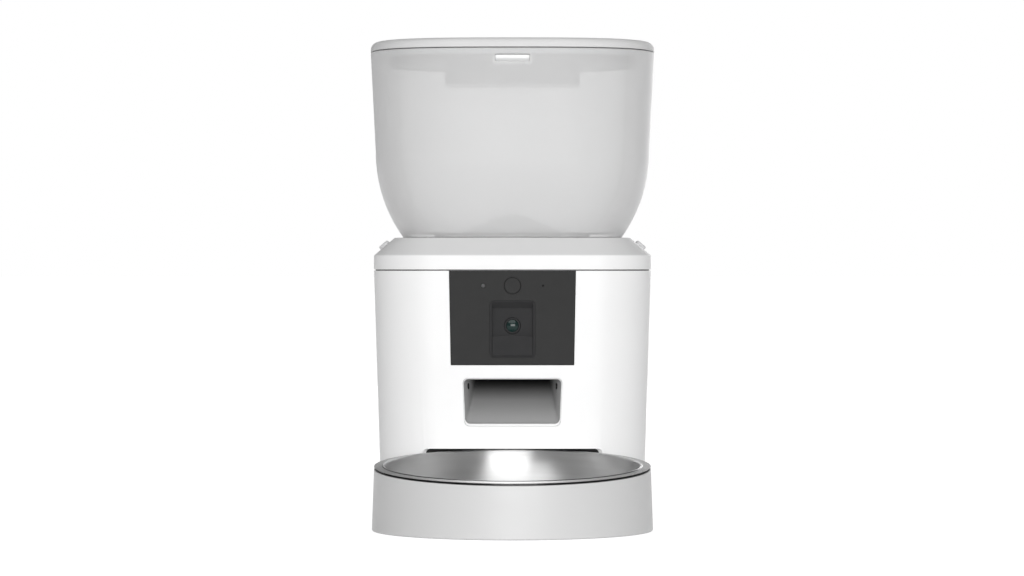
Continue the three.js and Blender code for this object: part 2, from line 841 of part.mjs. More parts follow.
function makeTopCover() {
  const outer = loft([
    coverRing(coverBottom, 0),
    coverRing(coverBandTop, 0),
    coverRing(coverTop, shoulderInset),
  ]);
  const bendHeight = coverBandTop + wall * (shoulderSlope - slopeStretch);
  const topInset = (shoulderRise - wall + wall * slopeStretch) / shoulderSlope;
  const inner = loft([
    coverRing(coverBottom - cutOverrun, wall),
    coverRing(bendHeight, wall),
    coverRing(coverUnderside, topInset),
  ]);
  const clearOfHousing = wall + slideGap;
  const below = loft([
    coverRing(coverColumnBottom, clearOfHousing),
    coverRing(coverBottom + cutOverrun, clearOfHousing),
  ]);
  const room = joined(outer, below);
  const columns = cornerSigns.map(([sx, sy]) => {
    const [x, y] = cornerPoint(upperColumnHalfWidth, sx, sy, columnInset);
    return rodZ(columnRadius, x, y, coverColumnBottom, coverTop).intersect(room);
  });
  const holes = cornerSigns.map(([sx, sy]) => {
    const [x, y] = cornerPoint(upperColumnHalfWidth, sx, sy, columnInset);
    const top = upperColumnBottom + coverScrewLength;
    return rodZ(screwHoleRadius, x, y, coverColumnBottom - cutOverrun, top);
  });
  const tabHalf = tabHeight / 2 + fitGap;
  const tabHalfLength = tabLength / 2 + fitGap;
  const tabSlots = [-1, 1].map((side) => turnedBlock(tabFrame(side), -tabHalf, tabHalf,
    -tabHalfLength, tabHalfLength, -wall - cutOverrun, tabStandOut));
  const lugSlots = [-1, 1].map((side) => lugBlock(side, fitGap, coverUnderside - cutOverrun,
    coverTop + cutOverrun));
  const mouth = rodZ(coverMouthRadius, 0, rotorY, coverUnderside - cutOverrun,
    coverTop + cutOverrun, largeRoundSteps);
  return cut(joined(cut(outer, inner), ...columns), ...holes, ...tabSlots, ...lugSlots, mouth);
}

// Hopper release tab: a button on the slope and a frame that reaches round the hopper's lug
function makeReleaseTab(side) {
  const frame = tabFrame(side);
  const half = tabHeight / 2;
  const halfLength = tabLength / 2;
  const lipTop = -wall - fitGap;
  const lipBottom = lipTop - tabLipThickness;
  const button = turnedBlock(frame, -half, half, -halfLength, halfLength, lipBottom, tabStandOut);
  const lip = turnedBlock(frame, -half - tabLip, half + tabLip, -halfLength - tabLip,
    halfLength + tabLip, lipBottom, lipTop);
  const stemHalf = tabStemWidth / 2;
  const stem = turnedBlock(frame, -stemHalf, stemHalf, -halfLength, halfLength, -tabStemDepth,
    lipTop);
  const corner = new THREE.Vector3(0, 0, -tabStemDepth + stemHalf).applyMatrix4(frame);
  const barTop = corner.z + catchBarHeight / 2;
  const barBottom = corner.z - catchBarHeight / 2;
  const catchEdge = lugInnerX - slideGap;
  const catchRoot = catchEdge - catchBarWidth;
  const armHalf = lugWidth / 2 + slideGap;
  const armEdge = armHalf + catchArmWidth;
  const reach = Math.abs(corner.x);
  const span = (x0, x1) => (side > 0 ? [x0, x1] : [-x1, -x0]);
  const bar = block(...span(catchRoot, catchEdge), rotorY - armEdge, rotorY + armEdge,
    barBottom, barTop);
  const arms = [[-armEdge, -armHalf], [armHalf, armEdge]].map(([y0, y1]) => block(
    ...span(catchRoot, reach), rotorY + y0, rotorY + y1, barBottom, barTop));
  return joined(button, lip, stem, bar, ...arms);
}

// Bottom plate, feet and battery door

function footPlaces() {
  const x = baseFootWidth / 2 - footSideInset;
  const y = baseDepth / 2 - footEndInset;
  return cornerSigns.map(([sx, sy]) => [sx * x, sy * y]);
}

const doorBottom = standHeight + fitGap;
const doorPivotY = doorRear - doorHingeInset;
const doorPivotZ = doorBottom + doorThickness / 2;

function makeBottomPlate() {
  const inset = wall + fitGap;
  const plate = loft([baseRing(standHeight, inset), baseRing(plateTop, inset)]);
  const low = standHeight - cutOverrun;
  const high = plateTop + cutOverrun;
  const pockets = footPlaces().map(([x, y]) => rodZ(footRadius + fitGap, x, y, low,
    standHeight + footPocketDepth, roundSteps));
  const holes = cornerSigns.flatMap(([sx, sy]) => {
    const [x, y] = cornerPoint(lowerColumnHalfWidth, sx, sy, columnInset);
    const seat = standHeight + 2 * fitGap + screwHeadHeight;
    const head = rodZ(screwHeadRadius + fitGap, x, y, low, seat);
    return [head, rodZ(screwHoleRadius, x, y, low, high)];
  });
  const pivotReach = doorHalfWidth + doorPivotLength + fitGap;
  return cut(
    plate,
    rodZ(dockRadius + dockWall + fitGap, 0, trayY, low, high, largeRoundSteps),
    block(-doorOpeningHalfWidth, doorOpeningHalfWidth, doorOpeningFront, doorOpeningRear, low, high),
    rodX(doorPivotRadius + fitGap, doorPivotY, doorPivotZ, -pivotReach, pivotReach),
    ...pockets,
    ...holes,
  );
}

function makeBatteryDoor() {
  const top = doorBottom + doorThickness;
  const plate = block(-doorHalfWidth, doorHalfWidth, doorFront, doorRear, doorBottom, top);
  const reach = doorHalfWidth + doorPivotLength;
  const pivots = rodX(doorPivotRadius, doorPivotY, doorPivotZ, -reach, reach);
  const gripFront = doorFront + doorGripInset;
  const grip = block(-doorGripHalfWidth, doorGripHalfWidth, gripFront, gripFront + doorGripWidth,
    doorBottom - cutOverrun, doorBottom + doorThickness / 2);
  return cut(joined(plate, pivots), grip);
}

function makeFoot() {
  const top = standHeight + footPocketDepth - fitGap;
  return turnedZ([[0, 0], [footRadius - footChamfer, 0], [footRadius, footChamfer],
    [footRadius, top], [0, top]], 0, 0);
}

// Screw that points up, its head's underside at height zero
function makeScrew(shankLength) {
  return turnedZ([
    [0, 0],
    [screwHeadRadius, 0],
    [screwHeadRadius, screwHeadHeight],
    [screwShankRadius, screwHeadHeight],
    [screwShankRadius, screwHeadHeight + shankLength - screwShankRadius],
    [0, screwHeadHeight + shankLength],
  ], 0, 0, smallRoundSteps);
}

// Battery case and contacts

const caseBottom = plateTop + fitGap;
const caseInnerFront = caseFront + caseWall;
const caseInnerRear = caseRear - caseWall;

function makeBatteryCase() {
  const outer = block(-caseHalfWidth, caseHalfWidth, caseFront, caseRear, caseBottom, caseTopHeight);
  const half = caseHalfWidth - caseWall;
  const inner = block(-half, half, caseInnerFront, caseInnerRear, caseBottom - cutOverrun,
    caseTopHeight - caseWall);
  return cut(outer, inner);
}

const contactMiddle = (contactBottom + contactTop) / 2;

function makeFrontContact() {
  const y = caseInnerFront + fitGap;
  const strip = block(-contactHalfWidth, contactHalfWidth, y, y + contactThickness, contactBottom,
    contactTop);
  const pads = [-cellPitch, 0, cellPitch].map((x) => rodY(contactPadRadius, x, contactMiddle,
    y + contactThickness / 2, y + contactThickness + contactPadThickness));
  return joined(strip, ...pads);
}

function makeRearContact() {
  const y = caseInnerRear - fitGap;
  const strip = block(-contactHalfWidth, contactHalfWidth, y - contactThickness, y, contactBottom,
    contactTop);
  const start = y - contactThickness / 2;
  const cones = [-cellPitch, 0, cellPitch].map((x) => turnedY([[0, start - contactConeLength],
    [contactConeRadius, start - contactConeLength], [contactPadRadius, start], [0, start]],
    x, contactMiddle, smallRoundSteps));
  return joined(strip, ...cones);
}

// Metering chamber, guard, rotor and agitator

function makeChamber() {
  const bushHole = bushOuterRadius + fitGap;
  const floorTop = chamberFloorHeight + chamberFloorThickness;
  const ledgeRadius = chamberRadius + chamberLedgeDepth;
  const flangeRadius = chamberOuterRadius + chamberFlangeReach;
  const flangeBottom = chamberTopHeight - chamberFlangeThickness;
  const cup = turnedZ([
    [bushHole, chamberFloorHeight],
    [chamberOuterRadius, chamberFloorHeight],
    [chamberOuterRadius, flangeBottom],
    [flangeRadius, flangeBottom],
    [flangeRadius, chamberTopHeight],
    [ledgeRadius, chamberTopHeight],
    [ledgeRadius, chamberLedgeHeight],
    [chamberRadius, chamberLedgeHeight],
    [chamberRadius, floorTop],
    [bushHole, floorTop],
  ], 0, rotorY, largeRoundSteps);
  const posts = postPlaces.map(([x, y]) => rodZ(postRadius, x, y, bracketTop + fitGap,
    chamberFloorHeight + chamberFloorThickness / 2));
  const holes = postPlaces.map(([x, y]) => rodZ(screwHoleRadius, x, y, bracketTop - cutOverrun,
    chamberFloorHeight));
  const drop = frontSector(dropInnerRadius, dropOuterRadius, dropHalfAngle,
    chamberFloorHeight - cutOverrun, floorTop + cutOverrun);
  return cut(joined(cup, ...posts), ...holes, drop);
}

function makeDropGuard() {
  const bottom = chamberLedgeHeight + fitGap;
  const top = bottom + guardThickness;
  const outer = chamberRadius + chamberLedgeDepth - fitGap;
  const ring = turnedZ([[guardRingInnerRadius, bottom], [outer, bottom], [outer, top],
    [guardRingInnerRadius, top]], 0, rotorY, largeRoundSteps);
  const middle = (guardRingInnerRadius + outer) / 2;
  const hub = turnedZ([[guardHubHoleRadius, bottom], [guardHubHoleRadius + guardHubWidth, bottom],
    [guardHubHoleRadius + guardHubWidth, top], [guardHubHoleRadius, top]], 0, rotorY);
  const sector = frontSector(guardHubHoleRadius + guardHubWidth / 2, middle, guardHalfAngle,
    bottom, top);
  return joined(ring, hub, sector);
}

function makeBush() {
  const bore = rotorShaftRadius + slideGap;
  const flangeTop = chamberFloorHeight - fitGap;
  const flangeBottom = flangeTop - bushFlangeThickness;
  const top = chamberFloorHeight + chamberFloorThickness;
  return turnedZ([[bore, flangeBottom], [bushFlangeRadius, flangeBottom],
    [bushFlangeRadius, flangeTop], [bushOuterRadius, flangeTop], [bushOuterRadius, top],
    [bore, top]], 0, rotorY);
}

function makeRotor() {
  const hub = rodZ(rotorHubRadius, 0, rotorY, rotorBottom, rotorTop, roundSteps);
  const shaft = rodZ(rotorShaftRadius, 0, rotorY, rotorShaftBottom, rotorBottom + cutOverrun,
    roundSteps);
  const outline = [[0, rotorBottom], [rotorRadius, rotorBottom], [rotorRadius, rotorTop],
    [0, rotorTop]];
  const paddles = [];
  for (let i = 0; i < paddleCount; i++) {
    paddles.push(radialFin(outline, paddleThickness, 2 * Math.PI * i / paddleCount));
  }
  const socket = rodZ(spigotRadius + fitGap, 0, rotorY, rotorTop - spigotLength - fitGap,
    rotorTop + cutOverrun);
  return cut(joined(hub, shaft, ...paddles), socket);
}

function makeAgitator() {
  const bottom = rotorTop + fitGap;
  const stemTop = bottom + agitatorStemHeight;
  const stem = turnedZ([[0, bottom - spigotLength], [spigotRadius, bottom - spigotLength],
    [spigotRadius, bottom], [agitatorStemRadius, bottom], [agitatorStemRadius, stemTop],
    [0, stemTop + agitatorStemRadius / 2]], 0, rotorY);
  const finBottom = chamberLedgeHeight + fitGap + guardThickness + agitatorFinBottomGap;
  const finTop = finBottom + agitatorFinRise;
  const tipHeight = agitatorFinRise / 3;
  const outline = [[0, finBottom], [agitatorFinReach, finBottom],
    [agitatorFinReach, finBottom + tipHeight], [agitatorStemRadius, finTop], [0, finTop]];
  const fins = [];
  for (let i = 0; i < agitatorFinCount; i++) {
    fins.push(radialFin(outline, agitatorFinThickness, 2 * Math.PI * (i / agitatorFinCount + 0.25)));
  }
  return joined(stem, ...fins);
}

// Gears

function gearPoints(teeth, centreY, phase) {
  const pitch = gearModule * teeth / 2;
  const base = pitch * Math.cos(degrees(pressureAngle));
  const tip = pitch + gearAddendum;
  const root = pitch - gearDedendum;
  const involute = (radius) => {
    const angle = Math.acos(Math.min(1, base / radius));
    return Math.tan(angle) - angle;
  };
  const halfAtPitch = Math.PI / (2 * teeth) - gearBacklash / (2 * pitch);
  const radii = [root, Math.max(base, (root + pitch) / 2), pitch, tip];
  const halfWidth = (radius) => halfAtPitch + involute(pitch) - involute(Math.max(radius, base));
  const points = [];
  for (let tooth = 0; tooth < teeth; tooth++) {
    const centre = phase + 2 * Math.PI * tooth / teeth;
    const rising = radii.map((radius) => [radius, centre - halfWidth(radius)]);
    const falling = radii.map((radius) => [radius, centre + halfWidth(radius)]).reverse();
    for (const [radius, angle] of [...rising, ...falling]) {
      points.push([radius * Math.cos(angle), centreY + radius * Math.sin(angle)]);
    }
  }
  return points;
}

// A tooth of the rotor's gear points at the pinion, and a gap of the pinion at the rotor
function makeRotorGear() {
  const wheel = plateXY(gearPoints(rotorTeeth, rotorY, Math.PI / 2), gearBottom, gearTop);
  const bore = rodZ(rotorShaftRadius + fitGap, 0, rotorY, gearBottom - cutOverrun,
    gearTop + cutOverrun, roundSteps);
  return cut(wheel, bore);
}

function makePinion() {
  const phase = -Math.PI / 2 + Math.PI / pinionTeeth;
  const wheel = plateXY(gearPoints(pinionTeeth, pinionY, phase), gearBottom, gearTop);
  const shaft = rodZ(pinionShaftRadius, 0, pinionY, bracketBottom + fitGap,
    gearTop + gearWidth / 8);
  return joined(wheel, shaft);
}

// Motor bracket, gearbox and motor

const gearboxTop = bracketBottom - fitGap;
const gearboxBottom = gearboxTop - gearboxHeight;
const motorTop = gearboxBottom - fitGap;

function makeMotorBracket() {
  const side = sidePostX + bracketMargin;
  const front = sidePostY - bracketMargin;
  const shoulder = sidePostY + bracketMargin;
  const rear = rearPostY + bracketMargin;
  const plate = plateXY([[-side, front], [side, front], [side, shoulder], [bracketMargin, rear],
    [-bracketMargin, rear], [-side, shoulder]], bracketBottom, bracketTop);
  const low = bracketBottom - cutOverrun;
  const high = bracketTop + cutOverrun;
  const holes = postPlaces.map(([x, y]) => rodZ(screwHoleRadius, x, y, low, high));
  return cut(
    plate,
    ...holes,
    rodZ(rotorShaftRadius + slideGap, 0, rotorY, low, high, roundSteps),
    rodZ(gearboxBossRadius + fitGap, 0, pinionY, low, high, roundSteps),
  );
}

function makeGearbox() {
  const body = rodZ(gearboxRadius, 0, pinionY, gearboxBottom, gearboxTop, roundSteps);
  const bossTop = gearBottom - 2 * fitGap;
  const boss = rodZ(gearboxBossRadius, 0, pinionY, gearboxTop - cutOverrun, bossTop, roundSteps);
  const hole = rodZ(pinionShaftRadius + slideGap, 0, pinionY, bracketBottom, bossTop + cutOverrun);
  return cut(joined(body, boss), hole);
}

function makeMotor() {
  const bottom = motorTop - motorHeight;
  return turnedZ([[0, bottom - motorEndHeight], [motorEndRadius, bottom - motorEndHeight],
    [motorEndRadius, bottom], [motorRadius, bottom], [motorRadius, motorTop], [0, motorTop]],
    0, pinionY);
}

// Chute from the drop hole to the outlet

const chuteTop = chamberFloorHeight - fitGap;

const chuteNeckY = innerFront + fitGap;

function chuteShare(y) {
  return Math.max(0, (y - chuteNeckY) / (ductFront - chuteNeckY));
}

function between(from, to, share) {
  return from + (to - from) * share;
}

function chuteHalfWidth(y) {
  return between(outletTopWidth / 2 - fitGap, ductHalfWidth + chuteWall, chuteShare(y));
}

function chuteRing(y, inset) {
  const share = chuteShare(y);
  const z0 = between(outletBottomHeight + fitGap, rampRearHeight - chuteWall, share) + inset;
  const z1 = between(outletTopHeight - fitGap, rampRearTopHeight + chuteWall, share) - inset;
  const radius = Math.max(outletCornerRadius - inset, fitGap);
  return outletRing(y, chuteHalfWidth(y) - inset, z0, z1, radius);
}

function ductSolid(grow, top) {
  const front = ductFront - grow;
  const rear = ductRear + grow;
  const half = ductHalfWidth + grow;
  return plateYZ([[front, rampRearHeight - grow], [rear, ductRearFloorHeight - grow], [rear, top],
    [front, top]], -half, half);
}

const sensorY = baseFront + sensorBackset;
const sensorWallX = chuteHalfWidth(sensorY);

function makeChute() {
  const outerPlaces = [baseFront, chuteNeckY, ductFront];
  const innerPlaces = [baseFront - cutOverrun, chuteNeckY, ductFront + cutOverrun];
  const outer = joined(loft(outerPlaces.map((y) => chuteRing(y, 0))),
    ductSolid(chuteWall, chuteTop));
  const inner = joined(loft(innerPlaces.map((y) => chuteRing(y, chuteWall))),
    ductSolid(0, chuteTop + cutOverrun));
  const eyes = rodX(sensorRadius + fitGap, sensorY, sensorHeight, -sensorWallX - cutOverrun,
    sensorWallX + cutOverrun);
  return cut(outer, inner, eyes);
}

function makeSensor() {
  const half = sensorBodySize / 2;
  const body = block(fitGap, fitGap + sensorBodyDepth, -half, half, -half, half);
  const nub = rodX(sensorRadius, 0, 0, -chuteWall - sensorNubReach, fitGap + cutOverrun);
  return joined(body, nub);
}

// Front panel, button, light, microphone and control board

function makeFrontPanel() {
  const face = plateXZ(panelOutline(-fitGap, seamHeight), baseFront, panelBack);
  const lipFront = panelBack - panelLipThickness;
  const lip = plateXZ(panelOutline(panelLip, seamHeight), lipFront, panelBack);
  const postHeight = buttonHeight - controlBoardHalfHeight + boardPostInset;
  const postX = controlBoardHalfWidth - boardPostInset;
  const posts = [-postX, postX].map((x) => rodY(boardPostRadius, x, postHeight,
    panelBack - panelLipThickness, controlBoardFront - fitGap));
  const front = baseFront - cutOverrun;
  const back = panelBack + cutOverrun;
  const pocketHole = pocketRing(fitGap);
  return cut(
    joined(face, lip, ...posts),
    rodY(buttonRadius + fitGap, 0, buttonHeight, front, back, roundSteps),
    rodY(lightHoleRadius, lightX, buttonHeight, front, back),
    rodY(microphoneHoleRadius, microphoneX, buttonHeight, front, back),
    plateXZ(pocketHole, front, back),
  );
}

function makeControlButton() {
  const front = baseFront - buttonStandOut;
  const back = front + buttonLength;
  const edge = buttonStandOut;
  const lipFront = panelBack + fitGap;
  return turnedY([[0, front], [buttonRadius - edge, front], [buttonRadius, front + edge],
    [buttonRadius, lipFront], [buttonLipRadius, lipFront],
    [buttonLipRadius, lipFront + buttonLipThickness],
    [buttonRadius, lipFront + buttonLipThickness], [buttonRadius, back], [0, back]],
    0, buttonHeight);
}

function makeButtonSwitch() {
  const half = switchSize / 2;
  const front = baseFront - buttonStandOut + buttonLength + buttonTravel + switchGap;
  return block(-half, half, front, controlBoardFront - fitGap, buttonHeight - half,
    buttonHeight + half);
}

function makeMicrophone() {
  return rodY(microphoneRadius, microphoneX, buttonHeight, panelBack + fitGap,
    controlBoardFront - fitGap);
}

function makeLightPipe() {
  return rodY(lightHoleRadius - fitGap, lightX, buttonHeight, baseFront,
    controlBoardFront - fitGap);
}

function makeControlBoard() {
  return block(-controlBoardHalfWidth, controlBoardHalfWidth, controlBoardFront,
    controlBoardFront + boardThickness, buttonHeight - controlBoardHalfHeight,
    buttonHeight + controlBoardHalfHeight);
}

// Camera pocket, lens, shutter and camera board

function pocketRing(grow) {
  const middle = (pocketBottomHeight + pocketTopHeight) / 2;
  const half = (pocketTopHeight - pocketBottomHeight) / 2 + grow;
  const points = roundedPoints(pocketWidth / 2 + grow, half, pocketCornerRadius + grow);
  return points.map(([x, dz]) => [x, middle + dz]);
}

const recessHalfWidth = pocketWidth / 2 - pocketWall;
const recessBottom = pocketBottomHeight + pocketEdge;
const shutterBottom = recessBottom + fitGap;
const shutterTop = shutterBottom + shutterHeight;
const shutterFront = baseFront + shutterBackset;
const shutterBack = shutterFront + shutterThickness;
const earBack = shutterBack + shutterEarThickness;

function recessRing(y, drop) {
  const top = pocketTopHeight - pocketEdge - drop;
  const points = [[recessHalfWidth, recessBottom], [recessHalfWidth, top],
    [-recessHalfWidth, top], [-recessHalfWidth, recessBottom]];
  return points.map(([x, z]) => new THREE.Vector3(x, y, z));
}

function makeCameraPocket() {
  const body = plateXZ(pocketRing(0), baseFront, pocketFloorBack);
  const recess = loft([recessRing(baseFront - cutOverrun, 0), recessRing(baseFront, 0),
    recessRing(pocketFloorFront, hoodDrop)]);
  const grooveHalf = recessHalfWidth + shutterEar;
  const groove = block(-grooveHalf, grooveHalf, shutterBack - fitGap, earBack + fitGap,
    recessBottom, shutterTop + shutterTravel + slideGap);
  const lensHole = rodY(lensBarrelRadius + fitGap, 0, lensHeight, pocketFloorFront - cutOverrun,
    pocketFloorBack + cutOverrun, roundSteps);
  const postX = cameraBoardHalfWidth - boardPostRadius;
  const heights = [cameraBoardBottom + boardPostRadius, cameraBoardTop - boardPostRadius];
  const posts = heights.flatMap((z) => [-postX, postX].map((x) => rodY(boardPostRadius, x, z,
    pocketFloorBack - pocketFloorThickness / 2, cameraBoardFront - fitGap)));
  return joined(cut(body, recess, groove, lensHole), ...posts);
}

function makeShutter() {
  const half = recessHalfWidth - slideGap;
  const plate = block(-half, half, shutterFront, shutterBack, shutterBottom, shutterTop);
  const earHalf = recessHalfWidth + shutterEar - fitGap;
  const earRoot = half - shutterEar;
  const ears = [[-earHalf, -earRoot], [earRoot, earHalf]].map(([x0, x1]) => block(x0, x1,
    shutterBack - shutterThickness / 4, earBack, shutterBottom, shutterTop));
  return joined(plate, ...ears);
}

const lensFront = baseFront + lensBarrelFront;
const lensFlangeFront = pocketFloorBack + fitGap;

function makeLensBarrel() {
  const seatRadius = lensGlassRadius + fitGap;
  const flangeBack = lensFlangeFront + lensFlangeThickness;
  const back = cameraBoardFront - fitGap;
  return turnedY([[seatRadius, lensFront], [lensBarrelRadius, lensFront],
    [lensBarrelRadius, lensFlangeFront], [lensFlangeRadius, lensFlangeFront],
    [lensFlangeRadius, flangeBack], [lensBarrelRadius, flangeBack], [lensBarrelRadius, back],
    [seatRadius / 2, back], [seatRadius / 2, lensFront + lensGlassSeat],
    [seatRadius, lensFront + lensGlassSeat]], 0, lensHeight);
}

function makeLensGlass() {
  const back = lensFront + lensGlassSeat - fitGap;
  const edge = lensFront + fitGap;
  return turnedY([[0, edge - lensGlassRise], [lensGlassRadius / 2, edge - lensGlassRise * 3 / 4],
    [lensGlassRadius, edge], [lensGlassRadius, back], [0, back]], 0, lensHeight);
}

function makeCameraBoard() {
  return block(-cameraBoardHalfWidth, cameraBoardHalfWidth, cameraBoardFront,
    cameraBoardFront + boardThickness, cameraBoardBottom, cameraBoardTop);
}

// Main board, speaker and power inlet

function makeMainBoard() {
  const front = mainBoardBack - boardThickness;
  const board = block(-mainBoardHalfWidth, mainBoardHalfWidth, front, mainBoardBack,
    mainBoardBottom, mainBoardTop);
  const shield = block(shieldX - shieldWidth / 2, shieldX + shieldWidth / 2, front - shieldDepth,
    front + boardThickness / 2, shieldBottom, shieldBottom + shieldHeight);
  return joined(board, shield);
}

function makeSpeaker() {
  const back = innerRear - fitGap;
  const frameFront = back - speakerFrameDepth;
  const magnetFront = frameFront - speakerMagnetDepth;
  return turnedY([[0, magnetFront], [speakerMagnetRadius, magnetFront],
    [speakerMagnetRadius, frameFront], [speakerRadius, frameFront], [speakerRadius, back],
    [speakerRadius - speakerFrameDepth, back], [0, back - speakerFrameDepth / 2]],
    0, speakerHeight);
}

function makePowerInlet() {
  const half = inletBodySize / 2;
  const bodyBack = innerRear - fitGap;
  const body = block(inletX - half, inletX + half, bodyBack - inletBodyDepth, bodyBack,
    inletHeight - half, inletHeight + half);
  const collar = rodY(inletCollarRadius, inletX, inletHeight, bodyBack - cutOverrun, baseRear,
    roundSteps);
  const face = baseRear - inletFaceBackset;
  const bore = rodY(inletBoreRadius, inletX, inletHeight, face, baseRear + cutOverrun, roundSteps);
  const socket = rodY(inletSocketRadius, inletX, inletHeight, face - inletSocketDepth,
    face + cutOverrun);
  const pin = rodY(inletPinRadius, inletX, inletHeight, face - inletSocketDepth - cutOverrun, face);
  return joined(cut(joined(body, collar), bore, socket), pin);
}

// Dock in the base, tray and bowl

function makeDock() {
  const top = dockTopHeight + dockWall;
  const bottom = standHeight + fitGap;
  const solid = rodZ(dockRadius + dockWall, 0, trayY, bottom, top, largeRoundSteps);
  const inset = wall + fitGap;
  const room = loft([baseRing(bottom - cutOverrun, inset), baseRing(top + cutOverrun, inset)]);
  const hollow = rodZ(dockRadius, 0, trayY, bottom - cutOverrun, dockTopHeight, largeRoundSteps);
  const slotHalf = tongueWidth / 2 + slideGap;
  const slot = block(-slotHalf, slotHalf, trayY + dockRadius - tongueReach,
    trayY + dockRadius + tongueReach, tongueBottom - slideGap,
    tongueBottom + tongueThickness + slideGap);
  return cut(solid.intersect(room), hollow, slot);
}

const bowlFrame = new THREE.Group();
bowlFrame.position.set(0, trayY, trayRimHeight);
bowlFrame.rotation.x = degrees(trayTilt);
bowlFrame.updateMatrix();

function trayRadius(z) {
  return trayFootRadius + (trayTopRadius - trayFootRadius) * z / trayRimHeight;
}

function makeTray() {
  const top = trayRimHeight + trayTopRadius * Math.tan(degrees(trayTilt)) + trayWall;
  const cup = turnedZ([[0, 0], [trayFootRadius, 0], [trayRadius(top), top],
    [trayRadius(top) - trayWall, top], [trayRadius(trayWall) - trayWall, trayWall],
    [0, trayWall]], 0, trayY, largeRoundSteps);
  const half = tongueWidth / 2;
  const tongue = block(-half, half, trayY + trayFootRadius - trayWall,
    trayY + trayFootRadius + tongueReach, tongueBottom, tongueBottom + tongueThickness);
  const reach = trayFootRadius + trayWall;
  const above = turnedBlock(bowlFrame.matrix, -reach, reach, -reach, reach, 0, trayRimHeight);
  return cut(joined(cup, tongue), above);
}

function makeBowl() {
  const profile = [[0, -bowlDepth], [bowlBottomRadius, -bowlDepth]];
  const wallPoint = (mouth, depth, share) => {
    const angle = share * Math.PI / 2;
    return [bowlBottomRadius + (mouth - bowlBottomRadius) * Math.sin(angle),
      -depth * Math.cos(angle)];
  };
  for (let i = 1; i < bowlWallSteps; i++) {
    profile.push(wallPoint(bowlMouthRadius + bowlSheet, bowlDepth, i / bowlWallSteps));
  }
  const rimTop = bowlRimGap + bowlRimThickness;
  profile.push([bowlMouthRadius + bowlSheet, bowlRimGap], [bowlRimRadius, bowlRimGap],
    [bowlRimRadius, rimTop - bowlSheet / 2], [bowlRimRadius - bowlSheet, rimTop],
    [bowlMouthRadius + bowlSheet, rimTop], [bowlMouthRadius, rimTop - bowlSheet]);
  for (let i = bowlWallSteps - 1; i > 0; i--) {
    profile.push(wallPoint(bowlMouthRadius, bowlDepth - bowlSheet, i / bowlWallSteps));
  }
  profile.push([bowlBottomRadius, bowlSheet - bowlDepth], [0, bowlSheet - bowlDepth]);
  return turnedZ(profile, 0, 0, largeRoundSteps);
}

// Hopper

const bowlCentreX = hopperBendHalfWidth - hopperBowlRadius;

function hopperHalfWidth(z) {
  if (z < hopperBendHeight) {
    return bowlCentreX + Math.sqrt(hopperBowlRadius ** 2 - (hopperBendHeight - z) ** 2);
  }
  const share = (z - hopperBendHeight) / (hopperTopHeight - hopperBendHeight);
  return hopperBendHalfWidth + (hopperTopHalfWidth - hopperBendHalfWidth) * share;
}

function hopperFrontY(z) {
  return hopperCentreY - (hopperHalfWidth(z) - depthLoss);
}

function hopperRings(inset, bottom, top) {
  const radius = hopperBowlRadius - inset;
  const start = Math.asin((hopperBendHeight - bottom) / radius);
  const rings = [];
  for (let i = 0; i <= hopperWallSteps; i++) {
    const angle = start * (1 - i / hopperWallSteps);
    const half = bowlCentreX + radius * Math.cos(angle);
    rings.push(planRing(half, hopperBendHeight - radius * Math.sin(angle)));
  }
  rings.push(planRing(hopperHalfWidth(top) - inset, top));
  return rings;
}

const rearWallY = hopperCentreY + hopperTopHalfDepth - hopperWall / 2;
const knuckleHoleRadius = hingePinRadius + fitGap;
const knuckleFlare = fitGap;
const middleKnuckleHalf = middleKnuckleLength / 2;
const lidButtonHalf = lidButtonWidth / 2;
const lidButtonTop = lidButtonBottom + lidButtonHeight;
const lidButtonFront = hopperFrontY(lidButtonBottom) - lidButtonStandOut;

function makeHopper() {
  const outer = loft(hopperRings(0, hopperFloorHeight, hopperTopHeight));
  const inner = loft(hopperRings(hopperWall, hopperFloorTop, hopperTopHeight + cutOverrun));
  const collarBottom = hopperFloorHeight - collarDrop;
  const collar = rodZ(collarRadius, 0, rotorY, collarBottom, hopperFloorTop - fitGap,
    largeRoundSteps);
  const mouth = rodZ(collarRadius - collarWall, 0, rotorY, collarBottom - cutOverrun,
    hopperFloorTop + cutOverrun, largeRoundSteps);
  const lugs = [-1, 1].map((side) => lugBlock(side, 0, hopperFloorHeight - lugDrop,
    hopperFloorTop - fitGap));
  const knuckle = rodX(knuckleRadius, hingeY, hingeHeight, -middleKnuckleHalf, middleKnuckleHalf);
  const foot = plateYZ([[rearWallY, hingeHeight - knuckleFootDrop],
    [hingeY, hingeHeight - knuckleRadius], [hingeY, hingeHeight],
    [rearWallY, hopperTopHeight - fitGap]], -middleKnuckleHalf, middleKnuckleHalf);
  const pinHole = rodX(knuckleHoleRadius, hingeY, hingeHeight, -middleKnuckleLength,
    middleKnuckleLength);
  const slotHalf = lidButtonHalf + slideGap;
  const slot = block(-slotHalf, slotHalf, lidButtonFront - cutOverrun,
    lidButtonFront + lidButtonDepth, lidButtonBottom - slideGap, lidButtonTop + slideGap);
  return cut(joined(cut(outer, inner), collar, ...lugs, knuckle, foot), mouth, pinHole, slot);
}

function makeLidButton() {
  const button = block(-lidButtonHalf, lidButtonHalf, lidButtonFront,
    lidButtonFront + lidButtonDepth, lidButtonBottom, lidButtonTop);
  const lipFront = hopperFrontY(lidButtonBottom) + hopperWall + 2 * slideGap;
  const lip = block(-lidButtonHalf - lidButtonLip, lidButtonHalf + lidButtonLip, lipFront,
    lipFront + lidButtonLipThickness, lidButtonBottom - lidButtonLipDrop, lidButtonTop);
  return joined(button, lip);
}

// Lid with its plug, desiccant box and hinge knuckles

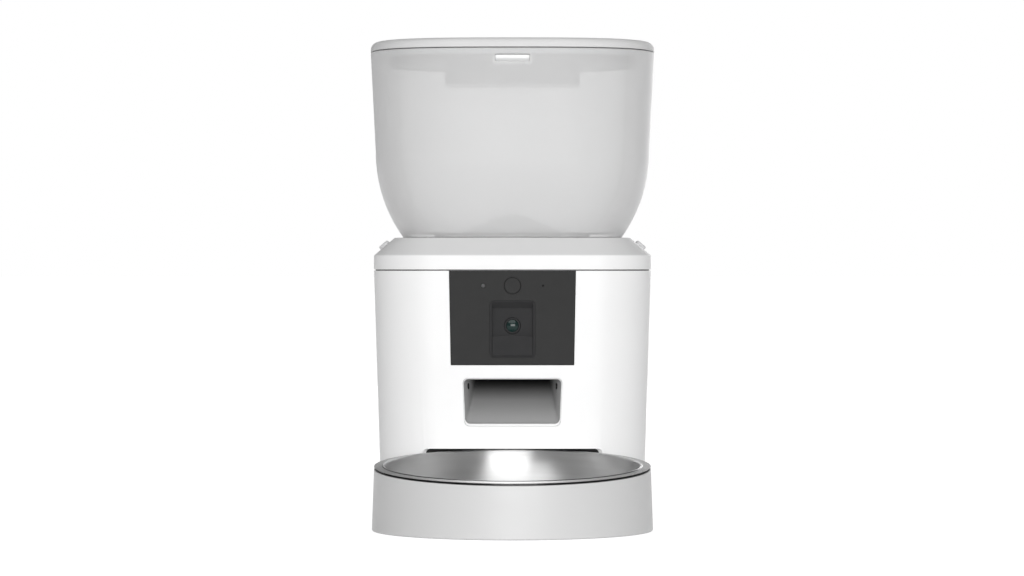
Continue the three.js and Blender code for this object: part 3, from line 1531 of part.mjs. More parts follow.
const lidInnerTop = lidTop - lidSkin;
const plugBottom = lidBottom - plugDrop;
const desiccantBottom = lidBottom - desiccantDrop;
const desiccantInnerHalf = desiccantHalfWidth - plugWall;
const desiccantInnerFront = desiccantFront + plugWall;
const desiccantInnerRear = desiccantRear - plugWall;
const desiccantCoverBottom = desiccantBottom + fitGap;
const desiccantPivotY = desiccantInnerRear - slideGap - desiccantHingeInset;
const desiccantPivotZ = desiccantCoverBottom + desiccantCoverThickness / 2;
const lidKnuckleStart = middleKnuckleHalf + knuckleFlare;
const lidKnuckleEnd = lidKnuckleStart + endKnuckleLength;

function lidShell() {
  const rings = [planRing(hopperTopHalfWidth, lidBottom)];
  for (let i = 0; i <= lidEdgeSteps; i++) {
    const angle = i / lidEdgeSteps * Math.PI / 2;
    const half = hopperTopHalfWidth - lidEdgeRadius * (1 - Math.cos(angle));
    rings.push(planRing(half, lidTop - lidEdgeRadius * (1 - Math.sin(angle))));
  }
  const half = hopperTopHalfWidth - lidSkin;
  const hollow = loft([planRing(half, lidBottom - cutOverrun), planRing(half, lidInnerTop)]);
  return cut(loft(rings), hollow);
}

function lidPlug() {
  const top = lidInnerTop + lidSkin / 2;
  const outer = loft([planRing(plugHalfWidth, plugBottom), planRing(plugHalfWidth, top)]);
  const half = plugHalfWidth - plugWall;
  const inner = loft([planRing(half, plugBottom - cutOverrun), planRing(half, top + cutOverrun)]);
  return cut(outer, inner);
}

function desiccantBox() {
  const top = lidInnerTop + lidSkin / 2;
  const outer = block(-desiccantHalfWidth, desiccantHalfWidth, desiccantFront, desiccantRear,
    desiccantBottom, top);
  const inner = block(-desiccantInnerHalf, desiccantInnerHalf, desiccantInnerFront,
    desiccantInnerRear, desiccantBottom - cutOverrun, top + cutOverrun);
  const reach = desiccantInnerHalf + desiccantPivotLength + fitGap;
  const pivots = rodX(desiccantPivotRadius + fitGap, desiccantPivotY, desiccantPivotZ, -reach,
    reach);
  return cut(outer, inner, pivots);
}

function makeLid() {
  const plugFront = hopperCentreY - (plugHalfWidth - depthLoss);
  const catchBottom = plugBottom + fitGap;
  const hook = block(-catchHalfWidth, catchHalfWidth, plugFront - catchReach,
    plugFront + plugWall / 2, catchBottom, catchBottom + catchThickness);
  const armHeight = lidHeight - lidSkin / 2;
  const knuckles = [[-lidKnuckleEnd, -lidKnuckleStart], [lidKnuckleStart, lidKnuckleEnd]].map(
    ([x0, x1]) => joined(
      rodX(knuckleRadius, hingeY, hingeHeight, x0, x1),
      plateYZ([[rearWallY, lidBottom], [hingeY, hingeHeight],
        [hingeY, hingeHeight + knuckleRadius], [rearWallY, lidBottom + armHeight]], x0, x1),
    ));
  const pinHole = rodX(knuckleHoleRadius, hingeY, hingeHeight, -lidKnuckleEnd - cutOverrun,
    lidKnuckleEnd + cutOverrun);
  return cut(joined(lidShell(), lidPlug(), desiccantBox(), hook, ...knuckles), pinHole);
}

function makeGasket() {
  const top = lidBottom - gasketTopGap;
  const bottom = top - gasketHeight;
  const outerHalf = hopperHalfWidth(bottom) - hopperWall - slideGap;
  const innerHalf = plugHalfWidth + fitGap;
  const outer = loft([planRing(outerHalf, bottom), planRing(outerHalf, top)]);
  const inner = loft([planRing(innerHalf, bottom - cutOverrun), planRing(innerHalf, top + cutOverrun)]);
  return cut(outer, inner);
}

function makeHingePin() {
  return rodX(hingePinRadius, hingeY, hingeHeight, -lidKnuckleEnd, lidKnuckleEnd);
}

function makeDesiccantCover() {
  const half = desiccantInnerHalf - slideGap;
  const front = desiccantInnerFront + slideGap;
  const rear = desiccantInnerRear - slideGap;
  const bottom = desiccantCoverBottom;
  const top = bottom + desiccantCoverThickness;
  const pivotReach = desiccantInnerHalf + desiccantPivotLength;
  const pivots = rodX(desiccantPivotRadius, desiccantPivotY, desiccantPivotZ, -pivotReach,
    pivotReach);
  const slots = [];
  const reach = Math.floor((half - desiccantSlotMargin) / desiccantSlotPitch);
  for (let i = -reach; i <= reach; i++) {
    const x = i * desiccantSlotPitch;
    slots.push(block(x - desiccantSlotWidth / 2, x + desiccantSlotWidth / 2,
      front + desiccantSlotMargin, rear - desiccantSlotMargin, bottom - cutOverrun,
      top + cutOverrun));
  }
  return cut(joined(block(-half, half, front, rear, bottom, top), pivots), ...slots);
}

// The whole feeder

add('housing', makeHousing(), whitePlastic());
add('top_cover', makeTopCover(), greyPlastic());
add('bottom_plate', makeBottomPlate(), greyPlastic());
add('battery_door', makeBatteryDoor(), greyPlastic());
add('battery_case', makeBatteryCase(), naturalPlastic());
add('front_contact', makeFrontContact(), brushedSteel());
add('rear_contact', makeRearContact(), brushedSteel());

const footGeometry = geometryOf(makeFoot());
footPlaces().forEach(([x, y], i) => place(`foot_${i + 1}`, footGeometry, rubber(), x, y, 0));

const baseScrewGeometry = geometryOf(makeScrew(screwShankLength));
const coverScrewGeometry = geometryOf(makeScrew(coverScrewLength));
cornerSigns.forEach(([sx, sy], i) => {
  const [lx, ly] = cornerPoint(lowerColumnHalfWidth, sx, sy, columnInset);
  const [ux, uy] = cornerPoint(upperColumnHalfWidth, sx, sy, columnInset);
  const coverScrewZ = upperColumnBottom - fitGap - screwHeadHeight;
  place(`base_screw_${i + 1}`, baseScrewGeometry, screwSteel(), lx, ly, standHeight + fitGap);
  place(`cover_screw_${i + 1}`, coverScrewGeometry, screwSteel(), ux, uy, coverScrewZ);
});

add('release_tab_left', makeReleaseTab(-1), greyPlastic());
add('release_tab_right', makeReleaseTab(1), greyPlastic());

add('dosing_chamber', makeChamber(), naturalPlastic());
add('drop_guard', makeDropGuard(), naturalPlastic());
add('rotor_bush', makeBush(), brass());
add('rotor', makeRotor(), naturalPlastic());
add('agitator', makeAgitator(), silicone());
add('rotor_gear', makeRotorGear(), naturalPlastic());
add('pinion', makePinion(), brass());
add('motor_bracket', makeMotorBracket(), naturalPlastic());
add('gearbox', makeGearbox(), brushedSteel());
add('motor', makeMotor(), brushedSteel());
postPlaces.forEach(([x, y], i) => {
  const z = bracketBottom - fitGap - screwHeadHeight;
  place(`bracket_screw_${i + 1}`, baseScrewGeometry, screwSteel(), x, y, z);
});

add('chute', makeChute(), greyPlastic());
const sensor = geometryOf(makeSensor());
place('sensor_right', sensor, blackPlastic(), sensorWallX, sensorY, sensorHeight);
const leftSensor = place('sensor_left', sensor, blackPlastic(), -sensorWallX, sensorY, sensorHeight);
leftSensor.rotation.z = Math.PI;

add('front_panel', makeFrontPanel(), darkPlastic());
add('control_button', makeControlButton(), darkPlastic());
add('button_switch', makeButtonSwitch(), blackPlastic());
add('microphone', makeMicrophone(), blackPlastic());
add('light_pipe', makeLightPipe(), smokyPlastic());
add('control_board', makeControlBoard(), boardGreen());
add('camera_pocket', makeCameraPocket(), darkPlastic());
add('camera_shutter', makeShutter(), darkPlastic());
add('lens_barrel', makeLensBarrel(), blackPlastic());
add('lens_glass', makeLensGlass(), lensGlass());
add('camera_board', makeCameraBoard(), boardGreen());
add('main_board', makeMainBoard(), boardGreen());
add('speaker', makeSpeaker(), blackPlastic());
add('power_inlet', makePowerInlet(), blackPlastic());

add('bowl_dock', makeDock(), darkPlastic());
add('bowl_tray', makeTray(), greyPlastic());
add('bowl', makeBowl(), brushedSteel(), bowlFrame);
feeder.add(bowlFrame);

add('hopper', makeHopper(), smokyPlastic());
add('lid_button', makeLidButton(), greyPlastic());
add('hinge_pin', makeHingePin(), screwSteel());
add('lid', makeLid(), greyPlastic());
add('lid_gasket', makeGasket(), silicone());
add('desiccant_cover', makeDesiccantCover(), greyPlastic());

// The middle of the whole object's depth goes to y = 0
feeder.position.y = -(frontMost + rearMost) / 2;

export default feeder;
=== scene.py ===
import json
import math

import bmesh
import bpy
from mathutils import Matrix, Vector


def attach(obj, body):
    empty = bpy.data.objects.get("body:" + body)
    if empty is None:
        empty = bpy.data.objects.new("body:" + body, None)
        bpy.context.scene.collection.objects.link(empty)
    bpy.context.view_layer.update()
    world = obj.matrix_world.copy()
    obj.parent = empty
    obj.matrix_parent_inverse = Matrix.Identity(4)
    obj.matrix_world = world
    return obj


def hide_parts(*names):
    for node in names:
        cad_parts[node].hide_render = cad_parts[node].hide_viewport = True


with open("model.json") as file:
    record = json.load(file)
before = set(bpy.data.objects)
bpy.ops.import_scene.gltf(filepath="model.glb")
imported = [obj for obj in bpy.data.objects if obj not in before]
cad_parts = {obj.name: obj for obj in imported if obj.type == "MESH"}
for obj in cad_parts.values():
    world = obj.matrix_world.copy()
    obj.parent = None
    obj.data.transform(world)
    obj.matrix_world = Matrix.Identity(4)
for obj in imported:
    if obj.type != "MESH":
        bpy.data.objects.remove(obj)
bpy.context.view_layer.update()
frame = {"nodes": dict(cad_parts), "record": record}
BODY_OF = {n: body for body, nodes in frame["record"]["behaviour"]["bodies"].items() for n in nodes}


def new_object(name, data):
    obj = bpy.data.objects.new(name, data)
    bpy.context.scene.collection.objects.link(obj)
    return obj


# Camera: about as high as the base's seam, a little over two and a half metres in front of it

camera_data = bpy.data.cameras.new("camera")
camera_data.lens = 135
camera_data.sensor_width = 36
camera_data.clip_end = 100
camera = new_object("camera", camera_data)
camera.location = (-0.0003, -2.582, 0.175)
camera.rotation_euler = (math.radians(90 - 0.396), 0, 0)
bpy.context.scene.camera = camera
bpy.context.scene.view_settings.view_transform = "Standard"

# Sizes in millimetres, with y = 0 at the middle of the base

MILLIMETRE = 0.001
SHIFT_Y = 74.5
TO_FRAME = Matrix.Translation((0, SHIFT_Y * MILLIMETRE, 0)) @ Matrix.Scale(MILLIMETRE, 4)

WALL = 2.5
GAP = 0.3
SLIDE = 0.4
OVER = 1.0
STAND = 2
SEAM_Z = 168.8
CAD_SEAM_Z = 170
TOP_WIDTH = 188
FOOT_WIDTH = 177.4
FRONT = -90
REAR = 90
CORNER = 40
INNER_REAR = REAR - WALL
ROTOR_Y = 2
COLUMN_R = 5
SCREW_R = 1.8
INLET = (43.4, 49)

COVER_Z = 169.65
BAND_Z = 179
COVER_TOP = 191.1
SHOULDER_IN = 14.2
SHOULDER_RISE = COVER_TOP - BAND_Z
TAB_UP = 8.85
MOUTH_R = 57.4

TRAY_Y = -159
TRAY_FOOT_R = 91.5
TRAY_TOP_R = 90
TRAY_RIM_Z = 41.7
TRAY_EDGE_DROP = 1.2
BOWL_FOOT_R = 52
TILT = math.radians(4)
DOCK_R = 92.6
DOCK_TOP = 49.8

BUTTON_Z = 158.8
LENS_Z = 132
POCKET_Z = (110.8, 148.6)
OUTLET_Z = (64.8, 96.95)
OUTLET_HALF = (32.1, 33.4)

HOPPER_TOP = 318
HOPPER_FLOOR = 191.4
HOPPER_FLOOR_TOP = 194
HOPPER_BEND = 250
HOPPER_R = 100
HOPPER_WALL = 2.4
HOPPER_TOP_HALF = 97.6
HOPPER_BEND_HALF = 94.2
DEPTH_LOSS = 5.6
LID_Z = 318.6
LID_TOP = 325
LID_CEILING = 323.8
PLUG_OUTER, PLUG_INNER, PLUG_FOOT = 85, 83, 309.6
HINGE_Y = 98
HINGE_Z = 319
HINGE_PIN_R = 1.6
KNUCKLE_R = 3.5
COVER_PIVOT = (28.6, 297.8)
DOOR_PIVOT = (71, 3.5)
GUARD_Z = (184.2, 186.4)
PADDLE = 2.4

CORNER_STEPS = 14
PLAN_STEPS = 26
ROUND = 96
SMALL_ROUND = 40


# Points and outlines. An outline is a function of how far it is grown, and gives a list of (u, v)

def arc(cu, cv, radius, start, end, steps):
    return [(cu + radius * math.cos(start + (end - start) * i / steps),
             cv + radius * math.sin(start + (end - start) * i / steps)) for i in range(steps + 1)]


def disc(radius, cu=0.0, cv=0.0, steps=SMALL_ROUND):
    return lambda grow: [(cu + (radius + grow) * math.cos(2 * math.pi * i / steps),
                          cv + (radius + grow) * math.sin(2 * math.pi * i / steps))
                         for i in range(steps)]


def rounded(half_u, half_v, radius, steps):
    points = []
    for quarter, (su, sv) in enumerate(((1, 1), (-1, 1), (-1, -1), (1, -1))):
        start = quarter * math.pi / 2
        points += arc(su * (half_u - radius), sv * (half_v - radius), radius, start,
                      start + math.pi / 2, steps)
    return points


def rect(u0, u1, v0, v1, radius=0.6, steps=5):
    cu, cv = (u0 + u1) / 2, (v0 + v1) / 2

    def outline(grow):
        turn = max(radius + grow, 0.04)
        points = rounded((u1 - u0) / 2 + grow, (v1 - v0) / 2 + grow, turn, steps)
        return [(cu + u, cv + v) for u, v in points]
    return outline


def offset(points, grow):
    moved = []
    for i, (u, v) in enumerate(points):
        (pu, pv), (nu, nv) = points[i - 1], points[(i + 1) % len(points)]
        a = Vector((v - pv, pu - u)).normalized()
        b = Vector((nv - v, u - nu)).normalized()
        reach = grow / max(0.3, 1 + a.dot(b))
        moved.append((u + (a + b).x * reach, v + (a + b).y * reach))
    return moved


def soften(points, radii, closed=True, steps=4):
    """Replaces each corner of a line of points by a short curve."""
    if not hasattr(radii, "__len__"):
        radii = [radii] * len(points)
    result = []
    for i, point in enumerate(points):
        if radii[i] <= 0 or (not closed and i in (0, len(points) - 1)):
            result.append(tuple(point))
            continue
        here = Vector(point)
        before, after = Vector(points[i - 1]), Vector(points[(i + 1) % len(points)])
        start = here + (before - here).normalized() * min(radii[i], 0.48 * (before - here).length)
        end = here + (after - here).normalized() * min(radii[i], 0.48 * (after - here).length)
        for k in range(steps + 1):
            t = k / steps
            result.append(tuple(start * (1 - t) ** 2 + here * 2 * t * (1 - t) + end * t ** 2))
    return result


def poly(points, radius=0.0):
    soft = soften(points, radius) if radius else points
    area = sum(soft[i - 1][0] * v - u * soft[i - 1][1] for i, (u, v) in enumerate(soft))
    ordered = soft if area > 0 else soft[::-1]
    return lambda grow: offset(ordered, grow)


# Solids

def solid(verts, faces):
    mesh = bpy.data.meshes.new("form")
    mesh.from_pydata(verts, [], faces)
    volume = 0.0
    for face in faces:
        a = Vector(verts[face[0]])
        for i in range(1, len(face) - 1):
            volume += a.dot(Vector(verts[face[i]]).cross(Vector(verts[face[i + 1]])))
    if volume < 0:
        mesh.flip_normals()
    return new_object("form", mesh)


def loft(rings, closed=False):
    count, total = len(rings[0]), len(rings)
    faces = []
    for k in range(total if closed else total - 1):
        a, b = k * count, (k + 1) % total * count
        faces += [(a + i, a + (i + 1) % count, b + (i + 1) % count, b + i) for i in range(count)]
    if not closed:
        faces.append(tuple(reversed(range(count))))
        faces.append(tuple(range((total - 1) * count, total * count)))
    return solid([tuple(p) for ring in rings for p in ring], faces)


def in_space(points, t, axis):
    if axis == "Z":
        return [(u, v, t) for u, v in points]
    if axis == "Y":
        return [(u, t, v) for u, v in points]
    return [(t, u, v) for u, v in points]


def prism(outline, levels, axis="Z"):
    return loft([in_space(outline(grow), t, axis) for grow, t in levels])


def quarter(radius, steps):
    """The steps of a quarter turn, as distances from the two faces that it joins."""
    return [(radius * (1 - math.cos(a)), radius * (1 - math.sin(a)))
            for a in (i / steps * math.pi / 2 for i in range(steps + 1))]


def slab(outline, lo, hi, axis="Z", edge=0.4, edge_hi=None, steps=3):
    """A plate with rounded edges at both ends."""
    top = edge if edge_hi is None else edge_hi
    low = [(-s, lo + c) for c, s in quarter(edge, steps)]
    high = [(-c, hi - s) for c, s in quarter(top, steps)]
    return prism(outline, (low if edge else low[:1]) + (high if top else high[-1:]), axis)


def hole(outline, lo, hi, axis="Z", flare_lo=0.0, flare_hi=0.0, steps=3):
    """A tool that cuts a hole whose rims are rounded where it leaves the material."""
    levels = [(flare_lo, lo - OVER)]
    if flare_lo:
        levels += [(s, lo + c) for c, s in quarter(flare_lo, steps)]
    if flare_hi:
        levels += [(c, hi - s) for c, s in quarter(flare_hi, steps)]
    levels.append((flare_hi, hi + OVER))
    return prism(outline, levels, axis)


def block(x0, x1, y0, y1, z0, z1, edge=0.3):
    return slab(rect(x0, x1, y0, y1, max(edge, 0.05), 3), z0, z1, "Z", max(edge, 0.02))


def rod(radius, cu, cv, lo, hi, axis="Z", edge=0.2, steps=SMALL_ROUND):
    return slab(disc(radius, cu, cv, steps), lo, hi, axis, edge)


def turned(profile, cu=0.0, cv=0.0, axis="Z", steps=ROUND):
    """A profile of (radius, height) turned round an axis, open or with both ends on the axis."""
    on_axis = profile[0][0] == 0 and profile[-1][0] == 0
    body = profile[1:-1] if on_axis else profile
    verts = []
    for r, h in body:
        verts += in_space(disc(r, cu, cv, steps)(0), h, axis)
    faces = []
    for k in range(len(body) - (1 if on_axis else 0)):
        a, b = k * steps, (k + 1) % len(body) * steps
        faces += [(a + i, a + (i + 1) % steps, b + (i + 1) % steps, b + i) for i in range(steps)]
    if on_axis:
        for h, ring, flip in ((profile[0][1], 0, True), (profile[-1][1], len(body) - 1, False)):
            pole = len(verts)
            verts += in_space([(cu, cv)], h, axis)
            for i in range(steps):
                a, b = ring * steps + i, ring * steps + (i + 1) % steps
                faces.append((pole, b, a) if flip else (pole, a, b))
    return solid(verts, faces)


def baked(obj):
    bpy.context.view_layer.update()
    graph = bpy.context.evaluated_depsgraph_get()
    mesh = bpy.data.meshes.new_from_object(obj.evaluated_get(graph))
    obj.modifiers.clear()
    old = obj.data
    obj.data = mesh
    bpy.data.meshes.remove(old)


def combine(operation, base, tools):
    for tool in tools:
        modifier = base.modifiers.new("boolean", "BOOLEAN")
        modifier.operation = operation
        modifier.solver = "MANIFOLD"
        modifier.object = tool
    baked(base)
    for tool in tools:
        mesh = tool.data
        bpy.data.objects.remove(tool)
        bpy.data.meshes.remove(mesh)
    return base


def joined(base, *tools):
    return combine("UNION", base, tools)


def cut(base, *tools):
    return combine("DIFFERENCE", base, tools)


def common(base, *tools):
    return combine("INTERSECT", base, tools)


def moved(obj, matrix):
    obj.data.transform(matrix)
    return obj


# Materials

FINE_GRAIN = 2400.0
GRAIN_DEPTH = 0.00002


def new_material(name):
    """Gives the material, its shader and the place on the object in metres."""
    material = bpy.data.materials.new(name)
    material.use_nodes = True
    shader = material.node_tree.nodes["Principled BSDF"]
    return material, shader, node(shader, "TexCoord").outputs["Object"]


def put(made, key, value):
    """Links a socket to an input of a node, or sets the input itself."""
    if isinstance(value, bpy.types.NodeSocket):
        made.id_data.links.new(value, made.inputs[key])
    else:
        made.inputs[key].default_value = value


def node(beside, kind, inputs=None, **settings):
    """A new node in the tree that another node or socket is in."""
    made = beside.id_data.nodes.new("ShaderNode" + kind)
    for key, value in settings.items():
        setattr(made, key, value)
    for key, value in (inputs or {}).items():
        put(made, key, value)
    return made


def shade(colour, amount):
    return (*[min(1.0, max(0.0, c * amount)) for c in colour[:3]], 1.0)


def grey(level):
    return (level, level, level, 1)


def noise(position, scale, detail=2.0):
    made = node(position, "TexNoise", {"Vector": position, "Scale": scale, "Detail": detail})
    return made.outputs["Fac"]


def spread(value, low, high, start=0.3, end=0.7):
    made = node(value, "MapRange", {"Value": value, "From Min": start, "From Max": end,
                                    "To Min": low, "To Max": high})
    return made.outputs["Result"]


def blend(factor, first, second):
    return node(factor, "Mix", {0: factor, 6: first, 7: second}, data_type="RGBA").outputs[2]


def maths(operation, *values):
    return node(values[0], "Math", dict(enumerate(values)), operation=operation).outputs[0]


def bump(shader, height, distance):
    made = node(shader, "Bump", {"Height": height, "Distance": distance})
    put(shader, "Normal", made.outputs["Normal"])


def moulded(shader, position, roughness, gloss_scale, grain, depth, constants):
    """Uneven gloss and a fine eroded grain, as all the moulded plastics have."""
    put(shader, "Roughness",
        spread(noise(position, gloss_scale), roughness - 0.04, roughness + 0.04))
    bump(shader, noise(position, grain), depth)
    for key, value in constants.items():
        put(shader, key.replace("_", " "), value)


def plastic(name, colour, roughness, variation=0.02, grain=FINE_GRAIN, depth=GRAIN_DEPTH,
            **constants):
    """Moulded plastic with slow clouds in its colour."""
    material, shader, position = new_material(name)
    clouds = noise(position, 22.0, 3.0)
    put(shader, "Base Color",
        blend(clouds, shade(colour, 1 - variation), shade(colour, 1 + variation)))
    moulded(shader, position, roughness, 132.0, grain, depth, constants)
    return material


STEEL_LINES = 2600.0
RIM_START = (0.0848, 0.0849)
GROOVE_SHADE_START = (0.08425, 0.08435)
UNDER_SHADE_START = (0.0834, 0.0836)


def spun_steel(name, colour, roughness):
    """Steel with fine lines round its own axis, a matt rim, and painted shade in the groove and
    below.
    """
    material, shader, place = new_material(name)
    x, y, z = node(shader, "SeparateXYZ", {0: place}).outputs
    square = maths("ADD", maths("MULTIPLY", x, x), maths("MULTIPLY", y, y))
    radius = maths("SQRT", square)
    slow = maths("MULTIPLY", maths("ARCTAN2", y, x), 0.0012)
    along = node(shader, "CombineXYZ", {0: radius, 1: slow, 2: z}).outputs[0]
    fine = noise(along, STEEL_LINES, 3.0)
    wide = noise(along, STEEL_LINES / 9)
    tone = blend(wide, shade(colour, 0.93), shade(colour, 1.07))
    rim = spread(radius, 0.0, 1.0, *RIM_START)
    tone = blend(rim, tone, blend(wide, shade(colour, 1.0), shade(colour, 1.1)))
    # Painted shade: the bead's outer side is coloured dark as if it lay in a shadowed groove.
    groove = maths("MULTIPLY", spread(radius, 0.0, 1.0, *GROOVE_SHADE_START),
                   spread(radius, 1.0, 0.0, *RIM_START))
    # Painted shade: the rim's underside, in the gap over the tray, is coloured dark.
    under_shade = maths("MULTIPLY", spread(radius, 0.0, 1.0, *UNDER_SHADE_START),
                  spread(z, 1.0, 0.0, 0.0, 0.00006))
    tone = blend(groove, tone, grey(0.18))
    put(shader, "Base Color", blend(under_shade, tone, grey(0.15)))
    gloss = spread(fine, roughness - 0.06, roughness + 0.06)
    put(shader, "Roughness", maths("MULTIPLY_ADD", rim, 0.5, gloss))
    bump(shader, fine, 0.000005)
    put(shader, "Metallic", 1.0)
    put(shader, "Anisotropic", 0.95)
    put(shader, "Anisotropic Rotation", 0.25)
    tangent = node(shader, "Tangent", direction_type="RADIAL", axis="Z")
    put(shader, "Tangent", tangent.outputs[0])
    return material


def metal(name, colour, roughness, scale=320.0, variation=0.08):
    """Plated or turned metal with a mottled grain."""
    material, shader, position = new_material(name)
    mottle = noise(position, scale, 4.0)
    put(shader, "Base Color",
        blend(mottle, shade(colour, 1 - variation), shade(colour, 1 + variation)))
    put(shader, "Roughness", spread(mottle, roughness - 0.08, roughness + 0.08))
    bump(shader, noise(position, scale * 5), 0.00001)
    put(shader, "Metallic", 1.0)
    return material


def circuit_board(name):
    """Green mask over copper tracks, with bright pads."""
    material, shader, position = new_material(name)
    upright = node(shader, "Mapping", {0: position, "Rotation": (math.pi / 2, 0, 0)})
    tracks = node(shader, "TexBrick", {
        "Vector": upright.outputs[0], "Color1": (0.015, 0.1, 0.04, 1),
        "Color2": (0.02, 0.13, 0.055, 1), "Mortar": (0.04, 0.2, 0.09, 1), "Scale": 90.0,
        "Mortar Size": 0.02}, offset=0.37)
    pads = node(shader, "TexVoronoi", {"Vector": position, "Scale": 260.0})
    bright = spread(pads.outputs["Distance"], 1.0, 0.0, 0.1, 0.14)
    put(shader, "Base Color", blend(bright, tracks.outputs["Color"], (0.62, 0.6, 0.52, 1)))
    put(shader, "Roughness", spread(noise(position, 500), 0.3, 0.42))
    bump(shader, tracks.outputs["Fac"], GRAIN_DEPTH)
    return material


def coated_lens(name):
    """Dark glass with a green bloom painted into its colour as a stand-in for the coating's
    reflection, and fine rings round its own axis.
    """
    material, shader, place = new_material(name)
    rings = node(shader, "TexWave", {"Vector": place, "Scale": 420.0, "Distortion": 0.0},
                 wave_type="RINGS", rings_direction="Y")
    bloom = noise(place, 180.0, 1.0)
    # Painted reflection: the green patch stands in for the coating's coloured reflection.
    painted_reflection_tint = blend(bloom, (0.008, 0.02, 0.019, 1), (0.012, 0.045, 0.04, 1))
    dark = blend(spread(rings.outputs["Fac"], 0.0, 0.6), painted_reflection_tint, (0.002, 0.004, 0.004, 1))
    put(shader, "Base Color", dark)
    put(shader, "Roughness", spread(bloom, 0.03, 0.07))
    put(shader, "Specular IOR Level", 0.25)
    return material


def painted_shade_zones(name, first, zones, lean=0.0, rear=None, roughness=0.44, **constants):
    """Moulded plastic with painted shade, changing tone at stated heights in mm, on level or
    leaning lines.

    zones is a list of (height, tone above it, width of the change); rear is a tone, and
    from where to where in metres it takes over behind."""
    material, shader, position = new_material(name)
    height = node(shader, "VectorMath", {0: position, 1: (0, -lean, 1)},
                  operation="DOT_PRODUCT").outputs["Value"]
    tone = grey(first)
    if rear:
        y = node(shader, "SeparateXYZ", {0: position}).outputs[1]
        tone = blend(spread(y, 0.0, 1.0, *rear[1:]), tone, grey(rear[0]))
    for edge, level, width in zones:
        edge, width = edge * MILLIMETRE, width * MILLIMETRE
        share = spread(height, 0.0, 1.0, edge - width / 2, edge + width / 2)
        tone = blend(share, tone, grey(level))
    clouds = spread(noise(position, 22.0, 3.0), 0.0, 0.05)
    put(shader, "Base Color", blend(clouds, tone, grey(0.5)))
    moulded(shader, position, roughness, 130.0, FINE_GRAIN, GRAIN_DEPTH, constants)
    return material


def smoky_plastic(name, colour, roughness, clear, solid_edge):
    """Clouded see-through plastic, denser where it is seen on edge."""
    material = plastic(name, colour, roughness, depth=0.000004, Specular_IOR_Level=0.2)
    shader = material.node_tree.nodes["Principled BSDF"]
    facing = node(shader, "LayerWeight", {"Blend": 0.5}).outputs["Facing"]
    put(shader, "Alpha", spread(facing, clear, solid_edge, 0.3, 0.9))
    return material


def painted_shade_chute(name):
    """Painted shade: white at the front edge, then darker the deeper it lies in the housing."""
    material, shader, position = new_material(name)
    depth = node(shader, "SeparateXYZ", {0: position}).outputs[1]
    share = spread(depth, 0.0, 1.0, -0.0155, 0.0245)
    ramp = node(shader, "ValToRGB", {0: share})
    stops = ramp.color_ramp.elements
    for place, level in ((0.012, 0.9), (0.02, 0.46), (0.535, 0.3), (0.777, 0.08), (0.9, 0.014)):
        stops.new(place).color = grey(level)
    stops[0].color = grey(0.9)
    stops[-1].color = grey(0.008)
    clouds = spread(noise(position, 30.0), 0.0, 0.06)
    put(shader, "Base Color", blend(clouds, ramp.outputs[0], grey(0.3)))
    moulded(shader, position, 0.46, 150.0, FINE_GRAIN, GRAIN_DEPTH, {})
    return material


WHITE = plastic("white_plastic", grey(0.9), 0.45)
# Painted shade: the skirt below the cover's seam is near black so the seam gap reads dark, and the
# shoulder above the band is greyer where less light falls from above.
COVER = painted_shade_zones("cover_plastic", 0.05, [(COVER_Z - 0.06, 0.9, 0.08), (BAND_Z + 0.3, 0.72, 0.8)])
GREY = plastic("grey_plastic", (0.66, 0.66, 0.665), 0.42)
# Painted shade: the tray's edge above this line, in the gap under the bowl's rim, is coloured dark.
TRAY_SHADE_LINE = TRAY_RIM_Z - (TRAY_Y + SHIFT_Y) * math.tan(TILT) - TRAY_EDGE_DROP - 0.1
TRAY = painted_shade_zones("tray_plastic", 0.66, [(TRAY_SHADE_LINE, 0.15, 0.1)], math.tan(TILT), None, 0.42)
# Painted shade: the plug's front half, just behind the hopper wall, is coloured dark where shade
# falls; its rear and the lid above keep the light tone.
LID = painted_shade_zones("lid_plastic", 0.16, [(LID_Z - 0.5, 0.72, 0.1)], 0, (0.72, 0.06, 0.11), 0.5,
            Specular_IOR_Level=0.3)
SMOKY = smoky_plastic("smoky_plastic", (0.86, 0.86, 0.862), 0.4, 0.48, 0.9)
DARK = plastic("dark_plastic", grey(0.037), 0.6, 0.06, 3000.0, 0.00003,
               Specular_IOR_Level=0.08)
DARKER = plastic("pocket_plastic", (0.031, 0.031, 0.032), 0.55, 0.06, 3000.0, 0.00003,
                 Specular_IOR_Level=0.08)
BLACK = plastic("black_plastic", grey(0.008), 0.45, 0.1, Specular_IOR_Level=0.2)
NATURAL = plastic("natural_plastic", (0.72, 0.71, 0.66), 0.5, 0.03)
RUBBER = plastic("rubber", (0.025, 0.025, 0.026), 0.85, 0.12, 1500.0, 0.00006)
SILICONE = plastic("silicone", (0.74, 0.74, 0.745), 0.55, 0.03, 1800.0, 0.00003,
                   Subsurface_Weight=0.1)
LIGHT = plastic("light_plastic", (0.11, 0.11, 0.112), 0.6, 0.05, Specular_IOR_Level=0.08)
STEEL = spun_steel("bowl_steel", grey(0.56), 0.38)
CHUTE = painted_shade_chute("chute_plastic")
ZINC = metal("plain_steel", (0.42, 0.42, 0.43), 0.38)
BRASS = metal("brass", (0.58, 0.43, 0.17), 0.32, 240.0)
BOARD = circuit_board("circuit_board")
LENS = coated_lens("lens_glass")

SLOT_MATERIALS = {
    "white_plastic": WHITE, "grey_plastic": GREY, "smoky_plastic": SMOKY, "dark_plastic": DARK,
    "black_plastic": BLACK, "natural_plastic": NATURAL, "circuit_board": BOARD,
    "bowl_steel": STEEL, "plain_steel": ZINC, "brass": BRASS, "rubber": RUBBER,
    "silicone": SILICONE, "lens": LENS,
}
SLOT_OF = {part["node"]: part["material_slot"] for part in frame["record"]["subparts"]
           if "node" in part and "material_slot" in part}


# Finished pieces

